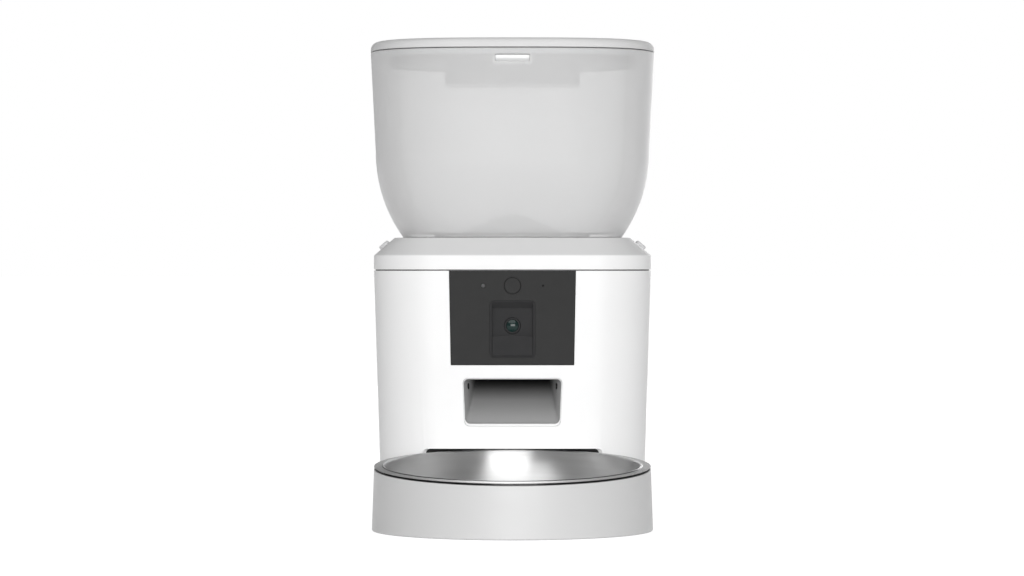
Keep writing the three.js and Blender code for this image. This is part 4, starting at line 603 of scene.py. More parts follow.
def smooth(obj, degrees):
    form = bmesh.new()
    form.from_mesh(obj.data)
    bmesh.ops.dissolve_degenerate(form, edges=form.edges, dist=1e-7)
    limit = math.radians(degrees)
    for face in form.faces:
        face.smooth = True
    for edge in form.edges:
        edge.smooth = len(edge.link_faces) == 2 and edge.calc_face_angle() < limit
    form.to_mesh(obj.data)
    form.free()
    modifier = obj.modifiers.new("normals", "WEIGHTED_NORMAL")
    modifier.keep_sharp = True


def piece(name, obj, replaced, material, place=TO_FRAME, degrees=32.0):
    """Puts a form into the frame as the piece that stands for a CAD node."""
    obj.name = name
    obj.data.name = name
    obj.data.transform(place)
    smooth(obj, degrees)
    obj.data.materials.clear()
    obj.data.materials.append(material)
    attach(obj, BODY_OF[replaced])
    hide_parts(replaced)


def base_half(z):
    return (FOOT_WIDTH + (TOP_WIDTH - FOOT_WIDTH) * (z - STAND) / (CAD_SEAM_Z - STAND)) / 2


def level_ring(half, z, inset):
    points = rounded(half - inset, REAR - inset, CORNER - inset, CORNER_STEPS)
    return [(x, y, z) for x, y in points]


def base_ring(z, inset):
    return level_ring(base_half(z), z, inset)


def cover_ring(z, inset):
    return level_ring(TOP_WIDTH / 2, z, inset)


def plan_ring(half, z):
    """A squarish oval, round the hopper's centre line."""
    ring = []
    for i in range(4 * PLAN_STEPS):
        angle = i / (4 * PLAN_STEPS) * 2 * math.pi
        c, s = math.cos(angle), math.sin(angle)
        x = math.copysign(abs(c) ** (2 / 3), c) if abs(c) > 1e-9 else 0.0
        y = math.copysign(abs(s) ** (2 / 3), s) if abs(s) > 1e-9 else 0.0
        ring.append((half * x, ROTOR_Y + (half - DEPTH_LOSS) * y, z))
    return ring


CORNERS = ((1, -1), (1, 1), (-1, 1), (-1, -1))
FOOT_PLACES = [(sx * 64.7, sy * 64) for sx, sy in CORNERS]
SCREW_IN = 6.6


def screw_places(half_width):
    reach = (CORNER - SCREW_IN) * math.sqrt(0.5)
    return [(sx * (half_width - CORNER + reach), sy * (REAR - CORNER + reach))
            for sx, sy in CORNERS]


def panel_points(grow, top):
    low, high, bottom = 41.3 + grow, 42.57 + grow, 105.6 - grow
    return [(-low, bottom), (low, bottom), (high, top), (-high, top)]


def outlet_outline(half=OUTLET_HALF[1], z0=OUTLET_Z[0], z1=OUTLET_Z[1], radius=3.7):
    """The outlet's rounded opening, a little wider at its top."""
    def outline(grow):
        turn = max(radius + grow, GAP)
        middle, tall = (z0 + z1) / 2, (z1 - z0) / 2 + grow
        taper = OUTLET_HALF[0] / OUTLET_HALF[1]
        points = []
        for u, v in rounded(half + grow, tall, turn, 8):
            share = (v + tall) / (2 * tall)
            points.append((u * (taper + (1 - taper) * share), middle + v))
        return points
    return outline


# Base housing

def make_housing():
    section = soften([(0, STAND), (0, SEAM_Z), (WALL, SEAM_Z), (WALL, STAND)], [1.2, 0.2, 0.3, 0.6])
    shell = loft([base_ring(z, inset) for inset, z in section], closed=True)
    columns, bores = [], []
    for (lx, ly), (ux, uy) in zip(screw_places(base_half(5)), screw_places(TOP_WIDTH / 2)):
        columns += [rod(COLUMN_R, lx, ly, 5.3, 22.3), rod(COLUMN_R, ux, uy, 156.7, 164.7)]
        bores += [rod(SCREW_R, lx, ly, 4.3, 17.3), rod(SCREW_R, ux, uy, 155.7, 165.7)]
    columns += [rod(3, x, z, 80.99, INNER_REAR + WALL / 2, "Y", 0.1)
                for z in (56, 106) for x in (-30, 30)]
    grille = [hole(rect(-13, 13, z - 1, z + 1, 0.99, 6), INNER_REAR, REAR, "Y", 0, 0.5)
              for z in (127, 132, 137, 142, 147)]
    return cut(
        joined(shell, *columns), *bores, *grille,
        hole(poly(panel_points(0, SEAM_Z + 6)), FRONT, FRONT + WALL, "Y", 0.25),
        hole(outlet_outline(), FRONT, FRONT + WALL, "Y", 0.3, steps=4),
        slab(disc(DOCK_R, 0, TRAY_Y, 160), OVER, DOCK_TOP, edge=0, edge_hi=2.8, steps=8),
        hole(disc(6.7, *INLET), INNER_REAR, REAR, "Y", 0, 0.4),
    )


piece("housing_shell", make_housing(), "housing", WHITE)

# Top cover with its sloped shoulder

SLOPE = SHOULDER_RISE / SHOULDER_IN
STRETCH = math.hypot(1, SLOPE)
UNDERSIDE = COVER_TOP - WALL


def tab_frame(side):
    """The middle of a release tab, with its Z axis square to the shoulder."""
    length = math.hypot(SHOULDER_RISE, SHOULDER_IN)
    x = TOP_WIDTH / 2 - TAB_UP * SHOULDER_IN / length
    z = BAND_Z + TAB_UP * SHOULDER_RISE / length
    turn = math.atan2(SHOULDER_RISE, SHOULDER_IN)
    return Matrix.Translation((side * x, ROTOR_Y, z)) @ Matrix.Rotation(side * turn, 4, "Y")


def on_side(side, x0, x1):
    return (x0, x1) if side > 0 else (-x1, -x0)


def lug(side, grow, z0, z1, edge):
    return block(*on_side(side, 69 - grow, 73 + grow), ROTOR_Y - 5 - grow, ROTOR_Y + 5 + grow,
                 z0, z1, edge)


def make_cover():
    bend = BAND_Z + WALL * (SLOPE - STRETCH)
    top_in = (SHOULDER_RISE - WALL + WALL * STRETCH) / SLOPE
    section = soften([
        (top_in + 1, UNDERSIDE), (top_in, UNDERSIDE), (WALL, bend), (WALL, COVER_Z), (0, COVER_Z),
        (0, BAND_Z), (SHOULDER_IN, COVER_TOP), (SHOULDER_IN + 3, COVER_TOP),
    ], [0, 0.8, 0.8, 0.2, 0.2, 0.9, 0.9, 0], closed=False, steps=5)
    cover = loft([cover_ring(z, inset) for inset, z in section])
    skirt = loft([cover_ring(z, inset) for inset, z in (
        (1.1, 171), (1.1, SEAM_Z + 0.05), (2.9, SEAM_Z + 0.05), (2.9, 166), (3.1, 165.8),
        (4.2, 165.8), (4.4, 166), (4.4, 172.4), (2.2, 172.4), (2.2, 171))], closed=True)
    skirt = cut(skirt, block(-46, 46, FRONT - 1, FRONT + 8, 160, SEAM_Z + 0.05, 0))
    room = loft([cover_ring(z, inset) for z, inset in
                 ((165, 2.9), (BAND_Z, 2.9), (COVER_TOP - 1, 15))])
    places = screw_places(TOP_WIDTH / 2)
    columns = [rod(COLUMN_R, x, y, 165, COVER_TOP - 0.5) for x, y in places]
    bores = [rod(SCREW_R, x, y, 164, 172.7, edge=0) for x, y in places]
    posts = common(joined(*columns), room)
    slots = []
    for side in (-1, 1):
        slot = hole(rect(-4.05, 4.05, -11.3, 11.3, 1.1), -WALL - 1, 0, "Z", 0, 0.35)
        slots += [moved(slot, tab_frame(side)),
                  lug(side, GAP, UNDERSIDE - OVER, COVER_TOP + OVER, 0.05)]
    mouth = hole(disc(MOUTH_R, 0, ROTOR_Y, ROUND), UNDERSIDE, COVER_TOP, "Z", 0.3, 0.5)
    return cut(joined(cover, skirt, posts), *bores, *slots, mouth)


piece("cover_shell", make_cover(), "top_cover", COVER)


def make_tab(side):
    """A button on the slope with fine grip ribs, and the frame behind it round the hopper's lug."""
    button = slab(rect(-3.75, 3.75, -11, 11, 1.2), -4, 3.3, "Z", 0.3, 0.9, 5)
    lip = slab(rect(-5.75, 5.75, -13, 13, 1), -4, -2.8, "Z", 0.2)
    stem = slab(rect(-2.5, 2.5, -11, 11, 0.5), -9, -3, "Z", 0.3)
    grooves = [moved(slab(disc(0.55, 0, 4.0, 16), -7 + 0.01 * i, 7 + 0.01 * i, "X", 0.2),
                     Matrix.Rotation(math.pi / 2, 4, "Z") @ Matrix.Translation((0, i * 1.5, 0)))
               for i in (-1, 0, 1)]
    button = cut(button, *grooves)
    form = moved(joined(button, lip, stem), tab_frame(side))
    corner = tab_frame(side) @ Vector((0, 0, -6.5))
    inner, reach, outer = 65.2, abs(corner.x), 8.4

    def span(x1, y0, y1):
        return block(*on_side(side, inner, x1), ROTOR_Y + y0, ROTOR_Y + y1, corner.z - 1.25,
                     corner.z + 1.25, 0.2)
    return joined(form, span(68.6, -outer, outer), span(reach, -outer, -5.4),
                  span(reach, 5.4, outer))


for side, word in ((-1, "left"), (1, "right")):
    piece(f"release_button_{word}", make_tab(side), f"release_tab_{word}", GREY)

# Front panel, button, light and microphone

PANEL_BACK = FRONT + 4


def make_panel():
    face = slab(poly(panel_points(-GAP, SEAM_Z), 0.5), FRONT, PANEL_BACK, "Y", 0.25)
    lip = slab(poly(panel_points(3, SEAM_Z)), PANEL_BACK - 1.2, PANEL_BACK, "Y", 0.15)
    posts = [rod(2.5, x, 155.8, PANEL_BACK - 1.2, -80.3, "Y", 0.1) for x in (-31, 31)]
    pocket = rect(-15.3, 15.3, POCKET_Z[0] - GAP, POCKET_Z[1] + GAP, 2.7, 8)
    return cut(
        joined(face, lip, *posts),
        hole(disc(5.7, 0, BUTTON_Z), FRONT, PANEL_BACK, "Y", 0.2),
        hole(disc(1.45, -19.6, BUTTON_Z), FRONT, PANEL_BACK, "Y", 0.12),
        hole(disc(0.7, 20.4, BUTTON_Z), FRONT, PANEL_BACK, "Y", 0.15),
        hole(pocket, FRONT, PANEL_BACK, "Y", 0.05),
    )


piece("panel_face", make_panel(), "front_panel", DARK)

button_profile = soften([
    (0, -90.1), (3.6, -90.25), (4.9, -90.4), (5.5, -90.0), (5.5, -85.7), (6.9, -85.7),
    (6.9, -84.5), (5.5, -84.5), (5.5, -84), (0, -84),
], [0, 0.8, 0.3, 0.3, 0.1, 0.2, 0.2, 0.1, 0.2, 0], closed=False)
piece("round_button", turned(button_profile, 0, BUTTON_Z, "Y", 64), "control_button", DARK)
light_profile = [(0, -90.0), (0.8, -89.97), (1.2, -89.85), (1.3, -89.7), (1.3, -80.3), (0, -80.3)]
piece("status_light", turned(light_profile, -19.6, BUTTON_Z, "Y", 32), "light_pipe", LIGHT)

# Camera pocket, shutter and lens

RECESS_HALF = 13.7
RECESS_Z = POCKET_Z[0] + 0.9
FLOOR_Y = FRONT + 2.6
POCKET_REAR = FRONT + 6.6
SHUTTER_Z = (RECESS_Z + 0.2, 124.6)
SHUTTER_CROWN = 1.1


def make_pocket():
    body = slab(rect(-15.2, 15.2, POCKET_Z[0] - 0.2, POCKET_Z[1] + 0.2, 2.6, 8), FRONT,
                POCKET_REAR, "Y", 0.2)

    def recess_ring(y, drop, grow):
        top = POCKET_Z[1] - 0.6 - drop
        half = RECESS_HALF + grow
        outline = rect(-half, half, RECESS_Z - grow, top + grow, 0.5 + grow, 4)
        return in_space(outline(0), y, "Y")
    recess = loft([recess_ring(FRONT - OVER, 0, 0.3), recess_ring(FRONT, 0, 0.3),
                   recess_ring(FRONT + 0.12, 0.12, 0.08), recess_ring(FRONT + 0.3, 0.45, 0),
                   recess_ring(FRONT + 2.2, 3.8, 0), recess_ring(FRONT + 2.45, 4.1, 0),
                   recess_ring(FLOOR_Y, 4.3, -0.2)])
    groove = block(-14.1, 14.1, -88.9, -87.6, RECESS_Z, 139.8, 0.05)
    lens_bore = hole(disc(5.6, 0, LENS_Z, 64), FLOOR_Y, POCKET_REAR, "Y", 0.15)
    posts = [rod(2.5, x, z, POCKET_REAR - 1, -79.3, "Y", 0.1) for x in (-11.5, 11.5)
             for z in (118.5, 144.5)]
    return joined(cut(body, recess, groove, lens_bore), *posts)


piece("camera_bezel", make_pocket(), "camera_pocket", DARKER)


def make_shutter():
    """A flat plate whose top edge is a shallow arch, with an ear down each side."""
    half = RECESS_HALF - 0.2
    top = [(half * (1 - i / 8), SHUTTER_Z[1] + SHUTTER_CROWN * (1 - (1 - i / 8) ** 2))
           for i in range(17)]
    outline = [(-half, SHUTTER_Z[0]), (half, SHUTTER_Z[0])] + top
    plate = slab(poly(outline), -89.85, -88.6, "Y", 0.12)
    ears = [block(*on_side(side, 11.3, 13.8), -88.87, -87.9, *SHUTTER_Z, 0.1)
            for side in (-1, 1)]
    return joined(plate, *ears)


piece("shutter_plate", make_shutter(), "camera_shutter", DARKER)

LENS_FRONT = FRONT + 2.45
BARREL_R = 5.35
barrel_profile = soften([
    (4.3, LENS_FRONT), (BARREL_R, LENS_FRONT), (BARREL_R, -83.1), (7, -83.1), (7, -81.9),
    (BARREL_R, -81.9), (BARREL_R, -79.3), (2.15, -79.3), (2.15, LENS_FRONT + 1.3),
    (4.3, LENS_FRONT + 1.3),
], [0.2, 0.35, 0.1, 0.2, 0.2, 0.1, 0.2, 0.1, 0.1, 0.1])
piece("lens_ring", turned(barrel_profile, 0, LENS_Z, "Y", 64), "lens_barrel", DARKER)


def make_lens():
    """A shallow dome on a disc, round its own origin."""
    front = -0.2
    dome = [(4 * i / 8, front + 0.9 * (i / 8) ** 2) for i in range(9)]
    return turned(dome + [(4, 1.0), (0, 1.0)], 0, 0, "Y", 64)


lens = make_lens()
lens.location = (0, (LENS_FRONT + SHIFT_Y) * MILLIMETRE, LENS_Z * MILLIMETRE)
piece("lens_dome", lens, "lens_glass", LENS, Matrix.Scale(MILLIMETRE, 4))

# Food outlet and chute

NECK_Y = -87.2
DUCT_FRONT = -50.8
DUCT_REAR = -22.149
DUCT_HALF = 27
DUCT_Z = (94.5, 113.5)
CHUTE_WALL = 1.5
SENSOR = (31.5, -78, 91.2)


def chute_ring(y, inset, edge=0.0, floor=None):
    share = min(1.0, max(0.0, (y - NECK_Y) / (DUCT_FRONT - NECK_Y)))
    z0 = OUTLET_Z[0] + GAP + (DUCT_Z[0] - OUTLET_Z[0] - GAP) * share
    z0 += inset if floor is None else floor
    z1 = OUTLET_Z[1] - GAP + (DUCT_Z[1] - OUTLET_Z[1] + GAP) * share - inset
    half = OUTLET_HALF[1] - GAP + (DUCT_HALF - OUTLET_HALF[1] + GAP) * share - inset
    outline = outlet_outline(half, z0, z1, max(3.7 - inset, GAP))
    return in_space(outline(edge), y, "Y")


def duct(grow, top):
    points = [(DUCT_FRONT - grow, 96 - grow), (DUCT_REAR + grow, 116 - grow),
              (DUCT_REAR + grow, top), (DUCT_FRONT - grow, top)]
    return slab(poly(points, 0.4 if grow else 1.2), -25.5 - grow, 25.5 + grow, "X")


def make_chute():
    stations = [NECK_Y + (DUCT_FRONT - NECK_Y) * i / 12 for i in range(1, 13)]
    outer = loft([chute_ring(FRONT, -0.2, -0.1), chute_ring(FRONT + 0.1, -0.2),
                  chute_ring(NECK_Y, 0)] + [chute_ring(y, 0) for y in stations])
    mouth = [(FRONT - OVER, 0.1, 1.2), (FRONT, 0.15, 1.2), (FRONT + 0.2, 0.2, 1.4),
             (FRONT + 0.6, 0.3, 1.5), (FRONT + 2, 0.6, 1.5), (FRONT + 4, 0.9, 1.5),
             (FRONT + 8, 1.3, 1.5), (FRONT + 12, 1.5, 1.5)]
    inner = loft([chute_ring(y, side, 0, floor) for y, side, floor in mouth]
                 + [chute_ring(y, CHUTE_WALL) for y in stations[4:-1] + [DUCT_FRONT + OVER]])
    body = joined(outer, duct(CHUTE_WALL, 149.7))
    bores = [rod(2.3, *SENSOR[1:], x - 3, x + 3, "X", 0) for x in (-SENSOR[0], SENSOR[0])]
    return cut(body, inner, duct(0, 151), *bores)


piece("chute_form", make_chute(), "chute", CHUTE)

for side, word in ((1, "right"), (-1, "left")):
    body = block(GAP, GAP + 5, -3.5, 3.5, -3.5, 3.5, 0.4)
    nub = rod(2, 0, 0, -2.5, 1.3, "X", 0.6)
    eye = moved(joined(body, nub), Matrix.Translation((side * SENSOR[0], *SENSOR[1:]))
                @ Matrix.Rotation(0 if side > 0 else math.pi, 4, "Z"))
    piece(f"food_sensor_{word}", eye, f"sensor_{word}", BLACK)

# Dock, tray and bowl


def make_dock():
    ring = slab(disc(94.6, 0, TRAY_Y, 160), 2.3, 51.8, edge=0.3)
    room = loft([base_ring(1.3, 2.8), base_ring(52.8, 2.8)])
    hollow = slab(disc(DOCK_R, 0, TRAY_Y, 160), 1.3, DOCK_TOP, edge=0, edge_hi=1.2)
    slot = block(-14.4, 14.4, -74.4, -58.4, 5.6, 10.4, 0.1)
    return cut(common(ring, room), hollow, slot)


piece("dock_liner", make_dock(), "bowl_dock", DARK)


def tray_radius(z):
    return TRAY_FOOT_R + (TRAY_TOP_R - TRAY_FOOT_R) * z / TRAY_RIM_Z


def make_tray():
    """A round cup whose rim leans forward, its edges rounded."""
    def ring(height, inset, drop=None):
        points = []
        for i in range(160):
            angle = 2 * math.pi * i / 160
            c, s = math.cos(angle), math.sin(angle)
            z = height
            if drop is not None:
                z = TRAY_RIM_Z + (TRAY_TOP_R - inset) * s * math.tan(TILT) - drop - TRAY_EDGE_DROP
            radius = tray_radius(z) - inset
            points.append((radius * c, TRAY_Y + radius * s, z))
        return points
    rings = [ring(0, 4), ring(0, 1.3), ring(0.12, 0.75), ring(0.45, 0.3), ring(1.1, 0)]
    rings += [ring(0, 0, 8), ring(0, 0, 0.6), ring(0, 0.08, 0.28), ring(0, 0.28, 0.08),
              ring(0, 0.6, 0), ring(0, 1.9, 0), ring(0, 2.3, 0.15), ring(0, WALL, 0.6)]
    rings += [ring(5, WALL), ring(3.2, WALL + 0.3), ring(WALL, WALL + 1.2), ring(WALL, WALL + 6)]
    cup = loft(rings)
    tongue = block(-14, 14, TRAY_Y + 89, TRAY_Y + 99.5, 6, 10, 0.5)
    return joined(cup, tongue)


piece("tray_cup", make_tray(), "bowl_tray", TRAY)


def make_bowl():
    """Spun sheet with a flat rim, a bead round its mouth and a flat foot, 1 mm thick."""
    outer, inner, depth, count = 84, 83, 30, 22

    def wall(mouth, down, share):
        angle = share * math.pi / 2
        return BOWL_FOOT_R + (mouth - BOWL_FOOT_R) * math.sin(angle), -down * math.cos(angle)
    profile = [(0, -depth), (44, -depth), (46, 0.01 - depth), (BOWL_FOOT_R, -depth)]
    profile += [wall(outer, depth, i / count) for i in range(1, count)]
    profile += [(84, -0.25), (84.2, -0.05), (84.6, 0.05), (89.5, 0.05), (89.85, 0.15), (90, 0.35),
                (89.85, 0.56), (89.5, 0.65), (85.1, 0.65), (84.85, 0.75), (84.65, 1.05),
                (84.4, 1.24), (84.0, 1.3), (83.6, 1.22), (83.25, 0.95), (83.08, 0.5), (83, 0.0)]
    profile += [wall(inner, depth - 1, i / count) for i in range(count - 1, 0, -1)]
    profile += [(BOWL_FOOT_R, 1 - depth), (46, 1 - depth), (0, 1 - depth)]
    return turned(profile, steps=180)


bowl = make_bowl()
bowl.location = (0, (TRAY_Y + SHIFT_Y) * MILLIMETRE, TRAY_RIM_Z * MILLIMETRE)
bowl.rotation_euler = (TILT, 0, 0)
piece("steel_bowl", bowl, "bowl", STEEL, Matrix.Scale(MILLIMETRE, 4), 40)

# Hopper

CURVE_CENTRE = HOPPER_BEND_HALF - HOPPER_R


def hopper_half(z):
    if z < HOPPER_BEND:
        return CURVE_CENTRE + math.sqrt(HOPPER_R ** 2 - (HOPPER_BEND - z) ** 2)
    widening = (HOPPER_TOP_HALF - HOPPER_BEND_HALF) / (HOPPER_TOP - HOPPER_BEND)
    return HOPPER_BEND_HALF + widening * (z - HOPPER_BEND)


def hopper_wall_points(inset, bottom):
    radius = HOPPER_R - inset
    start = math.asin((HOPPER_BEND - bottom) / radius)
    points = []
    for i in range(17):
        angle = start * (1 - i / 16)
        points.append((CURVE_CENTRE + radius * math.cos(angle),
                       HOPPER_BEND - radius * math.sin(angle)))
    return points


def make_hopper():
    outer = hopper_wall_points(0, HOPPER_FLOOR)
    inner = hopper_wall_points(HOPPER_WALL, HOPPER_FLOOR_TOP)
    section = [(outer[0][0] - 3, HOPPER_FLOOR)] + outer + [
        (HOPPER_TOP_HALF, HOPPER_TOP), (HOPPER_TOP_HALF - HOPPER_WALL, HOPPER_TOP)] + inner[::-1]
    section.append((inner[0][0] - 4, HOPPER_FLOOR_TOP))
    radii = [0] * len(section)
    brim = len(outer) + 1
    radii[1], radii[brim], radii[brim + 1], radii[-2] = 0.4, 0.6, 0.6, 3.0
    soft = soften(section, radii, closed=False)
    bin_form = loft([plan_ring(half, z) for half, z in soft])
    collar = slab(disc(56.6, 0, ROTOR_Y, ROUND), 187.2, 193.7, edge=0.5, edge_hi=0.05)
    lugs = [lug(side, 0, 181.4, 193.7, 0.5) for side in (-1, 1)]
    knuckle = rod(KNUCKLE_R, HINGE_Y, HINGE_Z, -14, 14, "X", 0.3)
    foot = slab(poly([(92.8, 311), (98, 315.5), (98, 319), (92.8, 317.7)]), -14, 14, "X", 0.1)
    mouth = hole(disc(53.6, 0, ROTOR_Y, ROUND), 187.2, HOPPER_FLOOR_TOP, "Z", 0.4, 1.2)
    pin = rod(HINGE_PIN_R, HINGE_Y, HINGE_Z, -28, 28, "X", 0, 24)
    slot = hole(rect(-11.7, 11.7, 308.6, 313.7, 0.7, 4), -92.4, -84, "Y", 0)
    return cut(joined(bin_form, collar, *lugs, knuckle, foot), mouth, pin, slot)


piece("hopper_shell", make_hopper(), "hopper", SMOKY)

BUTTON_FRONT = ROTOR_Y - (hopper_half(309) - DEPTH_LOSS) - 0.4
scoop = [(BUTTON_FRONT, 313.3), (BUTTON_FRONT, 310.9), (BUTTON_FRONT + 2.4, 309),
         (BUTTON_FRONT + 6.2, 309), (BUTTON_FRONT + 6.2, 313.3)]
lid_button = joined(
    slab(poly(scoop, 0.5), -11.3, 11.3, "X"),
    slab(rect(-13.3, 13.3, 307.3, 313.3, 0.4, 3), BUTTON_FRONT + 3.6, BUTTON_FRONT + 4.8, "Y",
         0.15))
piece("lid_latch_button", lid_button, "lid_button", WHITE)

# Lid with its plug, desiccant box, gasket and hinge


def make_lid():
    half, skin, turn = HOPPER_TOP_HALF, HOPPER_WALL, 4.6
    ceiling, inside = LID_TOP - skin, half - skin
    section = [(90, ceiling), (inside, ceiling), (inside, LID_Z), (half, LID_Z),
               (half, LID_TOP - turn)]
    edge = [(half - c, LID_TOP - s) for c, s in quarter(turn, 10)[1:]]
    soft = soften(section, [0, 1.2, 0.3, 0.35, 0], closed=False) + edge + [(88, LID_TOP)]
    shell = loft([plan_ring(out, z) for out, z in soft])
    plug_section = soften([(PLUG_OUTER, PLUG_FOOT), (PLUG_OUTER, LID_CEILING),
                           (PLUG_INNER, LID_CEILING), (PLUG_INNER, PLUG_FOOT)], [0.5, 0, 0, 0.5])
    plug = loft([plan_ring(out, z) for out, z in plug_section], closed=True)
    box = cut(block(-46, 46, -28, 32, 296.6, LID_CEILING, 0.6),
              block(-44, 44, -26, 30, 295.6, 325),
              rod(0.9, *COVER_PIVOT, -45.2, 45.2, "X", 0, 20))
    front = ROTOR_Y - (PLUG_OUTER - DEPTH_LOSS)
    hook = joined(block(-8, 8, front - 5, front + 1, 302.9, 306.9, 0.5),
                  block(-8, 8, front + 0.1, front + 1.9, 302.9, 312, 0.4))
    arm = poly([(92.8, LID_Z), (HINGE_Y, HINGE_Z), (HINGE_Y, 322.5), (92.8, LID_CEILING)])
    knuckles = []
    for x0, x1 in (on_side(side, 14.3, 24.3) for side in (-1, 1)):
        knuckles += [rod(KNUCKLE_R, HINGE_Y, HINGE_Z, x0, x1, "X", 0.3),
                     slab(arm, x0, x1, "X", 0.1)]
    pin = rod(HINGE_PIN_R, HINGE_Y, HINGE_Z, -25.3, 25.3, "X", 0, 24)
    return cut(joined(shell, plug, box, hook, *knuckles), pin)


piece("lid_form", make_lid(), "lid", LID)

gasket_half = hopper_half(314.4) - HOPPER_WALL - SLIDE
gasket_section = soften([(gasket_half, 314.4), (gasket_half, 318), (85.3, 318), (85.3, 314.4)],
                        [0.7, 0.5, 0.5, 0.7])
piece("gasket_ring", loft([plan_ring(half, z) for half, z in gasket_section], closed=True),
      "lid_gasket", SILICONE)

cover_slots = [hole(rect(10 * i - 1.5, 10 * i + 1.5, -15.6, 19.6, 1.4, 5), 296.9, 298.7, "Z",
                    0.25, 0.25) for i in range(-3, 4)]
desiccant = joined(slab(rect(-43.6, 43.6, -25.6, 29.6, 1.2), 296.9, 298.7),
                   rod(0.6, *COVER_PIVOT, -44.9, 44.9, "X", 0.15, 20))
piece("desiccant_lid", cut(desiccant, *cover_slots), "desiccant_cover", GREY)

# Underside: plate, battery door and feet


def make_plate():
    section = soften([(4, STAND), (2.8, STAND), (2.8, 5), (4, 5)], [0, 0.4, 0.4, 0], closed=False)
    plate = loft([base_ring(z, inset) for inset, z in section])
    feet = [rod(8.3, x, y, 1, 3.3, edge=0, steps=48) for x, y in FOOT_PLACES]
    screws = []
    for x, y in screw_places(base_half(5)):
        screws += [hole(disc(3.3, x, y), STAND, 3.0, "Z", 0.3), rod(SCREW_R, x, y, 1, 6, edge=0)]
    door = hole(rect(-50, 50, 10.6, 73.4, 1.2), STAND, 5, "Z", 0.3, 0.2)
    pivot = rod(1.0, *DOOR_PIVOT, -51.1, 51.1, "X", 0, 24)
    return cut(plate, rod(94.9, 0, TRAY_Y, 1, 6, edge=0, steps=160), door, pivot, *feet, *screws)


piece("base_plate", make_plate(), "bottom_plate", GREY)


def make_door():
    plate = slab(rect(-49.6, 49.6, 11, 73, 0.9), 2.3, 4.7, edge=0.35)
    pivots = rod(0.7, *DOOR_PIVOT, -50.8, 50.8, "X", 0.2, 24)
    grip = slab(rect(-12, 12, 16, 19, 1.4, 6), 1, 3.5, edge=0, edge_hi=0.4)
    ribs = [slab(rect(-40, 40, y - 0.5, y + 0.5, 0.4), 1, 2.6, edge=0, edge_hi=0.1)
            for y in (27, 36, 45, 54, 63)]
    return cut(joined(plate, pivots), grip, *ribs)


piece("battery_lid", make_door(), "battery_door", GREY)

foot_profile = soften([(0, 0.35), (4.8, 0.35), (5.2, 0), (7.2, 0), (8, 0.8), (8, 3), (0, 3)],
                      [0, 0.2, 0.2, 0.5, 0.4, 0.4, 0], closed=False)
for i, (x, y) in enumerate(FOOT_PLACES, 1):
    piece(f"rubber_foot_{i}", turned(foot_profile, x, y, "Z", 48), f"foot_{i}", RUBBER)

inlet_body = joined(block(36.9, 49.9, 77.2, 87.2, 42.5, 55.5, 0.6),
                    rod(6.4, *INLET, 86.2, REAR, "Y", 0.35, 48))
inlet = cut(inlet_body, hole(disc(5, *INLET), 83.5, REAR, "Y", 0, 0.4),
            rod(2.9, *INLET, 77.5, 84.5, "Y", 0.05, 32))
piece("inlet_socket", joined(inlet, rod(0.9, *INLET, 76.5, 83.5, "Y", 0.3, 20)),
      "power_inlet", BLACK)

# Metering chamber, guard, rotor and agitator, seen when the hopper is lifted


def sector(inner, outer, half_degrees):
    half = math.radians(half_degrees)
    start, end = -math.pi / 2 - half, -math.pi / 2 + half
    return arc(0, ROTOR_Y, outer, start, end, 14) + arc(0, ROTOR_Y, inner, end, start, 14)


def make_chamber():
    profile = soften([
        (7.8, 150), (60.5, 150), (60.5, 186.2), (65, 186.2), (65, 188.2), (60.2, 188.2),
        (60.2, 183.9), (58, 183.9), (58, 152.5), (7.8, 152.5),
    ], [0.2, 0.8, 0.6, 0.3, 0.4, 0.3, 0.2, 0.3, 1.2, 0.2])
    cup = turned(profile, 0, ROTOR_Y, "Z", ROUND)
    places = ((-34, 6), (34, 6), (0, 54))
    posts = [rod(4, x, y, 136.9, 151.2, edge=0.1) for x, y in places]
    bores = [rod(SCREW_R, x, y, 135.6, 150, edge=0) for x, y in places]
    drop = hole(poly(sector(28, 52, 27)), 150, 152.5, "Z", 0, 0.3)
    return cut(joined(cup, *posts), *bores, drop)


piece("chamber_cup", make_chamber(), "dosing_chamber", NATURAL)


def guard_band(inner, outer, steps):
    low, high = GUARD_Z
    section = soften([(inner, low), (outer, low), (outer, high), (inner, high)], 0.4)
    return turned(section, 0, ROTOR_Y, "Z", steps)


guard = joined(guard_band(54, 59.9, ROUND), guard_band(10, 14, 64),
               slab(poly(sector(12, 56.95, 33)), *GUARD_Z, edge=0.35))
piece("guard_plate", guard, "drop_guard", NATURAL)


def fin(points, angle):
    form = slab(poly(points, 0.8), -PADDLE / 2, PADDLE / 2, "Y", 0.5)
    return moved(form, Matrix.Translation((0, ROTOR_Y, 0)) @ Matrix.Rotation(angle, 4, "Z"))


def make_rotor():
    hub = rod(9, 0, ROTOR_Y, 153.1, 183.1, edge=0.6, steps=64)
    shaft = rod(4.5, 0, ROTOR_Y, 136.1, 154.1, edge=0.3, steps=48)
    paddles = [fin([(2, 153.1), (56.8, 153.1), (56.8, 183.1), (2, 183.1)], math.pi / 3 * i)
               for i in range(6)]
    socket = rod(3.8, 0, ROTOR_Y, 175.8, 184.1, edge=0)
    return cut(joined(hub, shaft, *paddles), socket)


piece("rotor_wheel", make_rotor(), "rotor", NATURAL)


